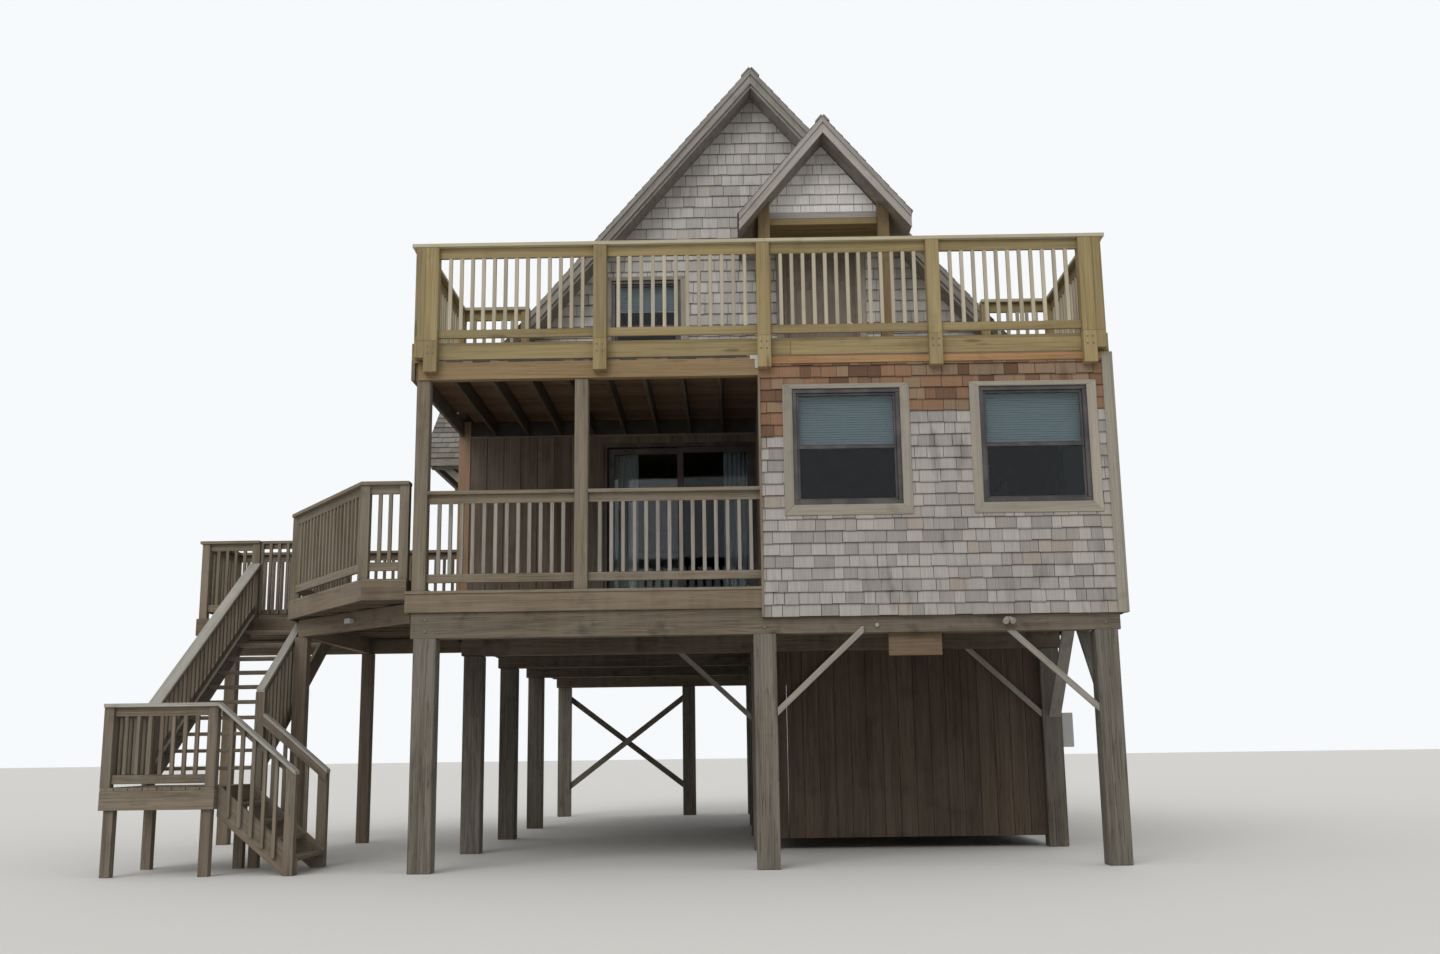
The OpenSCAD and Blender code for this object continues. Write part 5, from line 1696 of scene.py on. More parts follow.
    def _porch_boards(self) -> None:
        """Upright boards on the walls of the porch."""
        stock, corner = stocks("porch_wall_planks", "porch_corner_board")
        edges = Stock("porch_edge_boards")
        w, t, y, f, ceiling = PLAN.half_w, self.corner_t, PLAN.main_y, PLAN.front, PLAN.ceiling_z
        z, slider = (PLAN.floor_z, ceiling), (-1.89, 4.9)
        beside = rectangle((-w + 0.12, slider[0]), z)
        over = rectangle((slider[0], 0.0), (slider[1], z[1]))
        side = Plane(vec(0, 0, 0), -Y, UP)
        for face in (Cladding(MAIN, beside, over), Cladding(side, rectangle((-y, -f - 0.1), z))):
            face.plank(stock, self.board_w, self.board_gap, self.board_out)
        corner.block((-w - t, -w + 0.12), (y - t, y), (PLAN.floor_z, PLAN.plate_z))
        corner.block((-w - t, -w), (y, y + 0.1), (PLAN.left_z, PLAN.plate_z))
        edges.block((-t, 0.0), (f - t, f + 0.1), (PLAN.skirt_z, ceiling))
        edges.block((-w + 0.12, -t), (y - 0.04, y - 0.012), (ceiling - 0.022, ceiling))
        edges.build(self.shop, Look.GREY_RAIL, "trim_wood")
        stock.build(self.shop, Look.BOARDS, "wall_boards", bevel=0.002)
        corner.build(self.shop, Look.CORNER, "trim_wood")


@dataclass
class Porch(Assembly):
    """Floor boards, posts, rail, roof joists and ceiling of the porch, and its glass door."""

    post: float = 0.14
    post_y: float = -0.04
    post_xs: Span = (-3.53, -1.87)
    joist_pitch: float = 0.4
    deck_back: float = 2.09
    rail: RailStyle = RailStyle(height=1.04, top_h=0.089, gap=0.09)
    curtain_z: Span = (2.83, 4.91)
    curtain_w: float = 0.33
    curtain_y: float = 2.83
    curtain_lefts: Span = (-1.805, -0.415)
    folds: float = 6.0
    fold_d: Span = (0.017, 0.026)

    def build(self) -> None:
        """Makes every piece of the porch."""
        floor, posts = stocks("porch_floor_boards", "porch_post_timbers")
        rail, sticks = stocks("porch_rail_timbers", "porch_balusters")
        shape = rectangle((-PLAN.half_w, 0.0), (PLAN.front - 0.015, PLAN.main_y))
        thick = PLAN.board_z - PLAN.floor_z
        Cladding(level(PLAN.floor_z), shape).plank(floor, 0.145, 0.005, thick, upright=False)
        for x in self.post_xs:
            posts.post(x, self.post_y, (PLAN.floor_z, PLAN.ceiling_z), self.post)
        half, (first, second) = self.post / 2, self.post_xs
        for span in ((first + half, second - half), (second + half, 0.0)):
            start, end = (vec(x, self.post_y, PLAN.floor_z) for x in span)
            self.rail.panel(rail, start, end, sticks)
            self.rail.cap(rail, start, end)
        sticks.build(self.shop, Look.BRACE, "weathered_wood", "porch_rail")
        floor.build(self.shop, Look.GREY_RAIL, "weathered_wood", "porch_decking")
        posts.build(self.shop, Look.GREY_RAIL, "weathered_wood", "porch_posts", bevel=0.005)
        rail.build(self.shop, Look.GREY_RAIL, "weathered_wood", "porch_rail")
        self._roof()
        self._edges()
        self._door()

    def _roof(self) -> None:
        """Beam, joists and ceiling boards."""
        beam, side = stocks("porch_beam", "porch_side_beam")
        joists, boards = stocks("porch_joists", "ceiling_boards")
        z = (PLAN.ceiling_z, PLAN.plate_z)
        t, w, f = PLAN.board_t, PLAN.half_w, PLAN.front
        beam.block((-w + 0.075, 0.0), (f, f + 0.1), z)
        beam.block((-w + t, -w + 0.08), (f + 0.045, f + 0.1), z)
        side.block((-w, -w + t), (f, PLAN.main_y), z)
        for x, y in (
            ((-w + t + self.joist_pitch, -t), f + 0.1),
            ((PLAN.wall + 0.2, w - PLAN.wall - t), f + PLAN.wall)
        ):
            joists.joists(x, self.joist_pitch, (y, PLAN.main_y), z)
        thick = PLAN.plate_z - PLAN.rim_z
        for half, y in ((w, (f, self.deck_back)), (3.5, (self.deck_back, PLAN.main_y))):
            under = Cladding(level(PLAN.rim_z), rectangle((-half, half), y))
            under.plank(boards, 0.14, 0.003, thick, upright=False)
        beam.build(self.shop, Look.RIM, "frame_wood", "porch_roof_frame")
        side.build(self.shop, Look.GREY_RAIL, "frame_wood", "porch_roof_frame")
        joists.build(self.shop, Look.UNDER, "ceiling_wood", "porch_roof_frame")
        boards.build(self.shop, Look.CEILING, "ceiling_wood", "porch_ceiling", bevel=0.0)

    def _edges(self) -> None:
        """Ragged dark strip under the roof deck's rim, drawn as a torn felt edge and standing in
        for the rim's shadow, and a scrap of wrap.
        """
        rim_shadow, wrap = stocks("deck_felt_edge", "wrap_scrap")
        f, rim = PLAN.front, PLAN.rim_z
        # Dark felt-like strip with a ragged low edge: painted shadow under the rim.
        x = -PLAN.half_w + 0.08
        while x < -0.2:
            step = rim_shadow.rng.uniform(0.06, 0.2)
            drop = rim_shadow.rng.uniform(0.008, 0.03)
            rim_shadow.block((x, x + step), (f - 0.004, f), (rim - drop, rim))
            x += step
        wrap.block((-0.1, 0.0), (f - 0.006, f), (rim - 0.04, rim))
        wrap.block((-0.05, 0.0), (f - 0.006, f), (rim - 0.14, rim - 0.04))
        rim_shadow.build(self.shop, Look.PAINTED_SHADE_BACKING, "box_grey", bevel=0.0)
        wrap.build(self.shop, Look.WRAP, "box_grey", bevel=0.0)

    def _door(self) -> None:
        """Glass door, its curtains and their rod."""
        for node in ("slider_frame", "fixed_panel", "sliding_panel"):
            self.shop.dress(node, Look.DOOR_FRAME, bevel=0.003)
        self.shop.dress("sliding_glass", Look.GLASS)
        rod = Stock("curtain_rail")
        rod.block((-1.89, 0.0), (2.775, 2.86), (4.93, 4.98))
        rod.block((-1.86, -0.03), (self.curtain_y - 0.02, self.curtain_y), (4.9, 4.93))
        rod.build(self.shop, Look.TRIM, "curtain_cloth", "curtains")
        for name, left in zip(("curtain_left", "curtain_right"), self.curtain_lefts):
            self._curtain(name, left)

    def _curtain(self, name: str, left: float) -> None:
        """Hangs one pleated curtain.

        Args:
            name: Name of the piece.
            left: Where its left edge is.
        """
        rows, columns = 14, 90
        (low, high), (shallow, deep) = self.curtain_z, self.fold_d
        points, faces = [], []
        for i in range(rows + 1):
            drop = i / rows
            depth = shallow + (deep - shallow) * drop
            for j in range(columns + 1):
                s = j / columns
                turn = 2 * pi * self.folds * s + 0.5 * sin(5.0 * drop + 9.0 * s)
                y = self.curtain_y + depth * sin(turn)
                points.append((left + self.curtain_w * s, y, high - (high - low) * drop))
        for i in range(rows):
            for j in range(columns):
                a = i * (columns + 1) + j
                faces.append((a, a + 1, a + columns + 2, a + columns + 1))
        mesh = bpy.data.meshes.new(name)
        mesh.from_pydata(points, [], faces)
        mesh.shade_smooth()
        mesh.materials.append(self.shop.material(Look.CURTAIN))
        piece = bpy.data.objects.new(name, mesh)
        bpy.context.scene.collection.objects.link(piece)
        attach(piece, HOUSE)
        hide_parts("curtains")
        flat = sum(p.area for p in mesh.polygons) / (high - low)
        LOG.info("%s: cloth %.2f m wide", name, flat)


@dataclass
class RoofDeck(Assembly):
    """Newer rim, joists, boards, posts and rails over the porch and the front room."""

    post: float = 0.14
    small: float = 0.1
    post_xs: tuple[float, ...] = (-3.445, -1.67, 0.05, 1.84, 3.445)
    corner: Span = (3.515, 3.615)
    joist_x: float = 3.44
    joist_pitch: float = 0.6
    line_y: float = -0.17
    back_y: float = 2.09
    rear_y: float = 2.02
    side_x: float = 3.59
    short_x: float = 2.79
    seam: float = 0.001
    bolt_zs: Span = (5.27, 5.345)
    rail: RailStyle = RailStyle(height=1.065, top_h=0.115, gap=0.035)

    def build(self) -> None:
        """Makes every piece of the roof deck."""
        self._frame()
        self._posts()
        self._rails()

    def _frame(self) -> None:
        """Rim boards, joists and deck boards."""
        rims, boards = stocks("deck_rims", "deck_boards")
        z = (PLAN.rim_z, PLAN.deck_under)
        w, t, f, back = PLAN.half_w, PLAN.board_t, PLAN.front, self.back_y
        joint, seam = self.post_xs[2] + 0.28, self.seam
        for a, b in ((-w, joint), (joint, w)):
            rims.block((a + seam, b - seam), (f, f + t), z)
        rims.block((-w, -w + t), (f + t, back - t), z)
        rims.block((w - t, w), (f + t, back - t), z)
        rims.block((-w, w), (back - t, back), z)
        rims.joists((-self.joist_x, self.joist_x), self.joist_pitch, (f + t, PLAN.main_y), z)
        thick = PLAN.deck_under - PLAN.deck_z
        for half, y in ((w, (f, back)), (self.joist_x, (back, PLAN.main_y))):
            top = Cladding(level(PLAN.deck_z), rectangle((-half, half), y))
            top.plank(boards, PLAN.plank_w, PLAN.plank_gap, thick, upright=False)
        rims.build(self.shop, Look.NEW, "new_wood", "roof_deck_frame")
        boards.build(self.shop, Look.NEW, "new_wood", "roof_deck_boards")

    def _posts(self) -> None:
        """Posts let in over the rim, with two bolts each."""
        posts, bolts = stocks("deck_post_timbers", "deck_post_bolts")
        z = (PLAN.deck_z, PLAN.deck_z + self.rail.height - self.rail.cap_t)
        half, out = self.post / 2, PLAN.front - 0.11
        places = [((x - half, x + half), PLAN.deck_z - 0.34) for x in self.post_xs]
        places += [(self.corner, PLAN.rim_z), ((-self.corner[1], -self.corner[0]), PLAN.rim_z)]
        for span, low in places:
            posts.block(span, (out, PLAN.front), (low, PLAN.deck_z), UP)
            posts.block(span, (out, out + self.post), z, UP)
            if low >= PLAN.rim_z:
                continue
            for up in self.bolt_zs:
                for dx in (-0.03, 0.03):
                    place = vec(sum(span) / 2 + dx, out - 0.005, up)
                    bolts.disc(place, -Y, 0.009, 0.007, 10)
        for s in (-1, 1):
            posts.post(s * self.side_x, self.rear_y, z, self.post)
            posts.post(s * self.short_x, self.rear_y, z, self.small)
        posts.build(self.shop, Look.NEW, "new_wood", "roof_deck_posts", bevel=0.004)
        bolts.build(self.shop, Look.BOLT, "box_grey", bevel=0.002)

    def _rails(self) -> None:
        """Front rail, side rails and the short rear rails, with their caps."""
        front, front_sticks, front_caps, sides, side_sticks, side_caps = stocks(
            "deck_front_rail", "deck_front_balusters", "deck_front_cap", "deck_side_rails",
            "deck_side_balusters", "deck_side_caps"
        )
        half, seam, small = self.post / 2, self.seam, self.small / 2
        cap, near, far = self.rail.cap_w / 2, self.short_x, self.side_x
        at = lambda x, y: vec(x, y, PLAN.deck_z)
        for a, b in zip(self.post_xs, self.post_xs[1:]):
            start, end = at(a + half, self.line_y), at(b - half, self.line_y)
            self.rail.panel(front, start, end, front_sticks)
        joint = self.post_xs[2] + 0.03
        for a, b in ((-PLAN.half_w, joint - seam), (joint + seam, PLAN.half_w)):
            self.rail.cap(front_caps, at(a, self.line_y), at(b, self.line_y))
        for s in (-1, 1):
            x, y = s * self.side_x, self.rear_y
            self.rail.panel(sides, at(x, PLAN.front + 0.03), at(x, y - half), side_sticks)
            self.rail.cap(side_caps, at(x, self.line_y + cap), at(x, y + cap))
            self.rail.panel(sides, at(s * (near + small), y), at(s * (far - half), y), side_sticks)
            self.rail.cap(side_caps, at(s * (near - small), y), at(s * (far - cap), y))
        for node, wood, sticks, caps in (
            ("roof_deck_front_rail", front, front_sticks, front_caps),
            ("roof_deck_side_rails", sides, side_sticks, side_caps)
        ):
            wood.build(self.shop, Look.NEW, "new_wood", node)
            sticks.build(self.shop, Look.PALE_STICK, "new_wood", node)
            caps.build(self.shop, Look.DECK_CAP, "new_wood", node)


@dataclass(frozen=True)
class Pitch:
    """Section of a roof with two slopes, where side 1 is the one that across points to."""

    ridge: Vector
    across: Vector
    half: float
    angle: float

    @property
    def length(self) -> float:
        """Length of a slope."""
        return self.half / cos(self.angle)

    def eave(self, side: int) -> Vector:
        """Where a slope ends under the ridge's own point."""
        return self.ridge + self.across * side * self.half - UP * self.half * tan(self.angle)

    def down(self, side: int) -> Vector:
        """Direction down a slope."""
        return self.across * side * cos(self.angle) - UP * sin(self.angle)

    def out(self, side: int) -> Vector:
        """Direction square out from a slope."""
        return self.across * side * sin(self.angle) + UP * cos(self.angle)

    def cover(self, stock: Stock, side: int, *shapes: list[Point2]) -> None:
        """Covers shapes on a slope with shingles.

        Args:
            stock: Where they go.
            side: The slope.
            shapes: Corners, along the eave and up from it.
        """
        plane = Plane(self.eave(side), self.across.cross(UP) * -side, -self.down(side))
        Cladding(plane, *shapes).shingle(
            lambda u, v: stock, exposure=0.14, widths=(0.1, 0.24), butt=0.011
        )

    def cap(
        self, stock: Stock, side: int, ends: Span, lift: float, wide: float, thin: float
    ) -> None:
        """Adds the board along the top of a slope, at the ridge.

        Args:
            stock: Where it goes.
            side: The slope.
            ends: Its limits along the ridge.
            lift: Height of its middle over the slope.
            wide: Half of its width.
            thin: Half of its thickness.
        """
        down, out, along = self.down(side), self.out(side), UP.cross(self.across)
        middle = self.ridge + out * lift + down * (wide - 0.005)
        stock.bar(middle + along * ends[0], middle + along * ends[1], down * wide, out * thin)

    def edge(self, stock: Stock, side: int, shift: Vector, depth: Vector, wide: float) -> None:
        """Adds a board down the edge of a gable.

        Args:
            stock: Where it goes.
            side: The slope that it follows.
            shift: From the ridge's own point to the face of the gable.
            depth: How far the board stands out.
            wide: Its width.
        """
        drop = UP * (wide / cos(self.angle))
        top, foot = self.ridge + shift, self.eave(side) + shift
        stock.plate([top, foot, foot - drop, top - drop], depth, self.down(side))

    def rake(self, stock: Stock, side: int, y: float, depth: float, wide: float) -> None:
        """Adds a board down the edge of a gable at y, and a thinner one on top of it."""
        self.edge(stock, side, Y * y, Y * depth, wide)
        self.edge(stock, side, Y * y, Y * depth * 1.7, 0.05)


@dataclass
class Roofs(Assembly):
    """Main roof, small gable and canopy: shingles, rake boards, ridges, posts and trim."""

    main: Pitch = Pitch(vec(0, 0, PLAN.ridge_z), X, PLAN.eave_x, PLAN.roof_angle)
    gablet: Pitch = Pitch(vec(0.85, 0, 8.67), X, 1.03, radians(50.0))
    canopy: Pitch = Pitch(vec(0, 4.57, 5.8875), Y, 1.09, radians(41.0))
    gablet_y: float = 1.52
    gablet_t: float = 0.12
    gablet_post: Span = (0.655, 0.795)
    ceiling_z: float = 7.5
    canopy_x: float = -4.3
    fascia_t: float = 0.03
    rake_w: float = 0.128
    gablet_rake: Span = (0.025, 0.132)
    canopy_rake: Span = (0.022, 0.1)
    gablet_post_y: Span = (1.78, 1.92)

    def build(self) -> None:
        """Makes every roof."""
        for node in ("main_roof_left", "main_roof_right", "gablet_roof"):
            self.shop.dress(node, Look.FASCIA, GrainFrom.ALONG_Y)
        self.shop.dress("gablet_front", Look.PAINTED_SHADE_BACKING)
        self.shop.dress("entry_canopy", Look.FASCIA, GrainFrom.ALONG_X)
        shingles, fascia = stocks("roof_shingle_courses", "rake_boards")
        self._main(shingles, fascia)
        self._gablet(shingles, fascia)
        self._canopy(shingles, fascia)
        shingles.build(self.shop, Look.ROOF_SHINGLES, "roof_shingles", bevel=0.0)
        fascia.build(self.shop, Look.FASCIA, "trim_wood")

    def _main(self, shingles: Stock, fascia: Stock) -> None:
        """Both slopes of the main roof.

        Args:
            shingles: Stock for the courses.
            fascia: Stock for the edge boards.
        """
        low, high = PLAN.rake_front - 0.05, PLAN.rake_back + 0.05
        up = (-0.02, self.main.length)
        self.main.cover(shingles, 1, rectangle((low, high), up))
        self.main.cover(shingles, -1, rectangle((-high, -low), up))
        for s in (-1, 1):
            self.main.cap(fascia, s, (low, high), 0.022, 0.075, 0.009)
            self.main.rake(fascia, s, PLAN.rake_front, -self.fascia_t, self.rake_w)
            self.main.rake(fascia, s, PLAN.rake_back, self.fascia_t, self.rake_w)

    def _gablet(self, shingles: Stock, fascia: Stock) -> None:
        """The small gable: roof, rake boards, posts, ceiling and pediment trim.

        Args:
            shingles: Stock for the courses.
            fascia: Stock for the ridge boards.
        """
        posts, ceiling, trim = stocks("gablet_posts", "gablet_ceiling", "gablet_trim")
        roof, x, low = self.gablet, self.gablet.ridge.x, self.gablet_y - 0.045
        up, (thick, wide) = (-0.015, roof.length), self.gablet_rake
        front, back = self.gablet_post_y
        for s, span in ((1, (low, PLAN.rake_front)), (-1, (-PLAN.main_y, -low))):
            roof.cover(shingles, s, rectangle(span, up))
            roof.rake(trim, s, self.gablet_y, -thick, wide)
            roof.cap(fascia, s, (low, PLAN.rake_front), 0.02, 0.055, 0.008)
        inner, outer = self.gablet_post
        top = roof.ridge.z - self.gablet_t / cos(roof.angle)
        under = lambda dx: top - tan(roof.angle) * dx
        floor = PLAN.deck_z
        shape = ((inner, floor), (outer, floor), (outer, under(outer)), (inner, under(inner)))
        for s in (-1, 1):
            posts.plate([vec(x + s * dx, front, z) for dx, z in shape], Y * (back - front), UP)
        under_roof = rectangle((-outer, outer), (back, PLAN.main_y))
        Cladding(level(self.ceiling_z, x), under_roof).plank(ceiling, 0.11, 0.003, -0.06, False)
        between = (x - inner, x + inner)
        ceiling.block(between, (back - 0.036, back), (7.44, 7.52), X)
        trim.block(between, (back - 0.04, back), (7.52, 7.6), X)
        trim.build(self.shop, Look.GABLET_TRIM, "trim_wood")
        posts.build(self.shop, Look.RIM, "new_wood", "gablet_frame", bevel=0.004)
        ceiling.build(self.shop, Look.NEW, "ceiling_wood", "gablet_frame")

    def _canopy(self, shingles: Stock, fascia: Stock) -> None:
        """Courses and edge boards of the canopy over the side door.

        Args:
            shingles: Stock for the courses.
            fascia: Stock for the edge boards.
        """
        roof, length, ridge = self.canopy, self.canopy.length, self.canopy.ridge.z
        low = ridge - roof.half * tan(roof.angle)
        meet = (PLAN.roof_top(PLAN.eave_x) - low) / sin(roof.angle)
        ridge_x = -(PLAN.ridge_z - ridge) / tan(PLAN.roof_angle)
        shapes = [
            rectangle((self.canopy_x - 0.03, -PLAN.half_w - 0.04), (-0.015, length)),
            [(-3.7, meet), (ridge_x, length), (-3.7, length)]
        ]
        for s in (-1, 1):
            turned = [[(-u, v) for u, v in reversed(shape)] for shape in shapes]
            roof.cover(shingles, s, *(turned if s > 0 else shapes))
            roof.edge(fascia, s, X * self.canopy_x, X * -self.canopy_rake[0], self.canopy_rake[1])


@dataclass
class SideDeck(Assembly):
    """Left deck, its rails, the gate, and the stair down to the ground."""

    post: float = 0.1
    leg: float = 0.15
    deck: tuple[Point2, ...] = (
        (-3.66, -0.08), (-4.12, -0.08), (-5.5, 1.92), (-5.5, 3.92), (-7.34, 3.92), (-7.34, 5.17),
        (-3.66, 5.17)
    )
    frame_z: Span = (2.71, 2.9)
    beam_z: Span = (2.51, 2.71)
    legs_at: tuple[Point2, ...] = ((-5.325, 1.97), (-5.325, 4.92), (-7.19, 4.92))
    posts_at: tuple[Point2, ...] = (
        (-3.71, 0.0), (-4.12, 0.0), (-5.42, 1.92), (-5.42, 3.97), (-5.55, 3.97), (-6.6, 3.97),
        (-7.26, 3.97), (-7.26, 5.09), (-3.71, 5.09)
    )
    railed: tuple[int, ...] = (0, 1, 2, 5, 6, 7)
    rail: RailStyle = RailStyle(height=1.02, top_h=0.089, gap=0.09)
    landing_rail: RailStyle = RailStyle(height=0.83, top_h=0.089, gap=0.035)
    plank_t: float = 0.03
    landing_z: float = 0.87
    head_y: float = 3.92
    flight: Span = (-6.65, -5.5)
    landing_y: Span = (-0.13, 1.02)
    steps: int = 11
    going: float = 0.29
    low_steps: int = 5
    low_going: float = 0.205
    string_w: float = 0.24
    left_rail_h: float = 0.72
    right_rail_h: float = 0.868
    low_rail: float = 0.81
    newel_ys: tuple[float, ...] = (-0.08, 0.92, 1.0)
    pin: Point2 = (-5.603, 4.03)
    hinge_zs: Span = (3.134, 3.746)

    @property
    def slope(self) -> float:
        """Slope of the upper flight."""
        return (PLAN.left_z - self.landing_z) / self.steps / self.going

    @property
    def low_slope(self) -> float:
        """Slope of the lower flight."""
        return self.landing_z / self.low_steps / self.low_going

    def build(self) -> None:
        """Makes the deck, its rails, the gate and the stair."""
        self._deck()
        self._legs()
        self._rails()
        self._gate()
        self._treads()
        self._strings()
        self._landing()
        self._stair_rails()

    def _deck(self) -> None:
        """Deck boards, rim boards and joists."""
        boards, rims = stocks("left_deck_planks", "left_deck_rims")
        p, t, (low, high) = self.deck, PLAN.board_t, self.frame_z
        front = [p[0], (p[0][0], p[3][1]), p[3], p[2], p[1]]
        rear = [p[4], (p[6][0], p[4][1]), p[6], p[5]]
        top = Cladding(level(PLAN.left_z), front, rear)
        top.plank(boards, PLAN.plank_w, PLAN.plank_gap, -self.plank_t, upright=False)
        corners = [vec(*q, low) for q in p]
        ways = [(b - a).normalized() for a, b in zip(corners, [*corners[1:], corners[0]])]
        inner = []
        for i, corner in enumerate(corners):
            n, m = ways[i - 1].cross(UP), ways[i].cross(UP)
            inner.append(corner + (n + m) * t / (1 + n.dot(m)))
        for i, way in enumerate(ways):
            j = (i + 1) % len(corners)
            rims.plate([corners[i], corners[j], inner[j], inner[i]], UP * (high - low), way)
        y = 0.22
        while y < 5.1:
            left = self._edge(y + t / 2) + t
            rims.block((left, -PLAN.half_w - t), (y, y + t), (low, high))
            y += 0.4
        boards.build(self.shop, Look.GREY_RAIL, "weathered_wood", "left_deck_boards")
        rims.build(self.shop, Look.FRAME, "weathered_wood", "left_deck_frame")

    def _edge(self, y: float) -> float:
        """Finds the outer edge of the deck.

        Args:
            y: Place along the deck.

        Returns:
            X of the edge.
        """
        (x0, y0), (x1, y1) = self.deck[1:3]
        if y < y1:
            return x0 + (y - y0) * (x1 - x0) / (y1 - y0)
        return x1 if y < self.head_y else self.deck[4][0]

    def _legs(self) -> None:
        """Posts and beams that carry the deck, and the lamp on one of them."""
        stock, lamp = stocks("left_deck_timbers", "deck_lamp")
        for x, y in self.legs_at:
            stock.post(x, y, (0.0, self.beam_z[0]), self.leg)
        mid, half, wide = UP * sum(self.beam_z) / 2, UP * 0.1, 0.045
        start, end = vec(*self.legs_at[0], 0), vec(-3.66, 0.27, 0)
        run = (end - start).normalized()
        stock.bar(start - run * wide + mid, end + mid, run.cross(UP) * wide, half)
        (x, _), (_, y) = self.legs_at[:2]
        stock.block((x - wide, x + wide), (2.0, 4.86), self.beam_z)
        stock.block((-7.265, -PLAN.half_w), (y - wide, y + wide), self.beam_z)
        stock.build(self.shop, Look.FRAME, "weathered_wood", "left_deck_legs", bevel=0.005)
        out = UP.cross(run)
        place = vec(-4.5, 1.128, 2.61) - out * 0.07
        lamp.bar(place - run * 0.06, place + run * 0.06, out * 0.03, UP * 0.028)
        lamp.build(self.shop, Look.BOX, "box_grey", bevel=0.004)

    def _rails(self) -> None:
        """Posts, panels and mitred caps round the deck, and the fixed parts of the hinges."""
        stock, pins = stocks("left_deck_rail_timbers", "gate_hinge_pins")
        z, half, rail = PLAN.left_z, self.post / 2, self.rail
        points = [vec(*p, z) for p in self.posts_at]
        for p in points:
            stock.post(p.x, p.y, (z, z + rail.height - rail.cap_t), self.post)
        for i in self.railed:
            run = (points[i + 1] - points[i]).normalized() * (half - 0.006)
            rail.panel(stock, points[i] + run, points[i + 1] - run)
        wall = lambda p: vec(-PLAN.half_w, p.y, z)
        rail.mitred_caps(stock, [wall(points[0]), *points[1:4], points[4] - X * half])
        rail.mitred_caps(stock, [points[5] + X * half, *points[6:8], wall(points[8])])
        stock.build(self.shop, Look.GREY_RAIL, "weathered_wood", "left_deck_rails")
        x, y = self.pin
        for centre in self.hinge_zs:
            for k in (-1, 1):
                middle = centre + k * 0.0603
                pins.disc(vec(x, y, middle + 0.03), UP, 0.009, 0.06)
                pins.block((x, x + 0.05), (y - 0.01, y - 0.006), (middle - 0.03, middle + 0.03))
        pins.build(self.shop, Look.METAL, "box_grey", bevel=0.0)

    def _gate(self) -> None:
        """The gate at the head of the stair, with its hinge straps."""
        wood, metal = stocks("gate_timbers", "gate_hinges")
        x0, x1, rear = -6.544, -5.606, 4.02
        low, high, top, deep = 2.98, 3.912, 3.95, 0.064
        t, stick = PLAN.board_t, RailStyle.baluster
        flat = (rear - t, rear)
        wood.block((x0, x1), (rear - 0.07, rear), (high, top))
        wood.block((x0, x1), flat, (low, low + deep))
        wood.block((x0, x1), flat, (high - deep, high))
        count = round((x1 - x0) / RailStyle.pitch)
        for i in range(count + 1):
            x = x0 + i * (x1 - x0 - stick) / count
            wood.block((x, x + stick), (rear - t - stick, rear - t), (low, high), UP)
        for z in self.hinge_zs:
            metal.disc(vec(*self.pin, z + 0.03), UP, 0.009, 0.06)
            metal.block((-5.763, self.pin[0]), (rear, rear + 0.004), (z - 0.02, z + 0.02))
            wood.block((-5.763, x1), flat, (z - 0.03, z + 0.03))
        wood.build(self.shop, Look.GREY_RAIL, "weathered_wood", "stair_gate", body="gate")
        metal.build(self.shop, Look.METAL, "box_grey", body="gate", bevel=0.0)

    def _treads(self) -> None:
        """Treads of both flights, two boards each."""
        stock, t = Stock("stair_tread_boards"), PLAN.board_t
        x = (self.flight[0] + t, self.flight[1] - t)
        rise = (PLAN.left_z - self.landing_z) / self.steps
        for i in range(1, self.steps):
            low = self.head_y - i * self.going
            high = self.head_y - (i - 1) * self.going - 0.02
            middle, z = (low + high) / 2, PLAN.left_z - i * rise
            stock.block(x, (low, middle - 0.003), (z - t, z))
            stock.block(x, (middle + 0.003, high), (z - t, z))
        for i in range(1, self.low_steps):
            z = self.landing_z - i * self.landing_z / self.low_steps
            a = self.flight[1] + (i - 1) * self.low_going + 0.005
            stock.block((a, a + 0.096), (0.008, 0.912), (z - t, z))
            stock.block((a + 0.1, a + 0.195), (0.008, 0.912), (z - t, z))
        stock.build(self.shop, Look.STAIR, "weathered_wood", "stair_treads")

    def _strings(self) -> None:
        """String boards on both sides of both flights."""
        stock, t, slope = Stock("stair_string_boards"), PLAN.board_t, self.slope
        depth = self.string_w * hypot(1.0, slope)
        top, foot = PLAN.left_z + 0.02, self.landing_z + slope * self.going + 0.02
        head, near = self.head_y, self.landing_y[1]
        shape = [(head, top), (head, top - depth), (near, foot - depth), (near, foot)]
        for x in (self.flight[0], self.flight[1] - t):
            corners = [vec(x, y, z) for y, z in shape]
            stock.plate(corners, X * t, vec(0, 1, slope))
        slope, length = self.low_slope, 0.82
        depth = self.string_w * hypot(1.0, slope)
        top, x0 = self.landing_z + 0.02, self.flight[1]
        x1 = x0 + length
        shape = [
            (x0, top), (x1, top - slope * length), (x1, 0.0), (x0 + (top - depth) / slope, 0.0),
            (x0, top - depth)
        ]
        for y in (-0.03, 0.912):
            corners = [vec(x, y, z) for x, z in shape]
            stock.plate(corners, Y * t, vec(1, 0, -slope))
        stock.build(self.shop, Look.STAIR, "weathered_wood", "stair_strings")

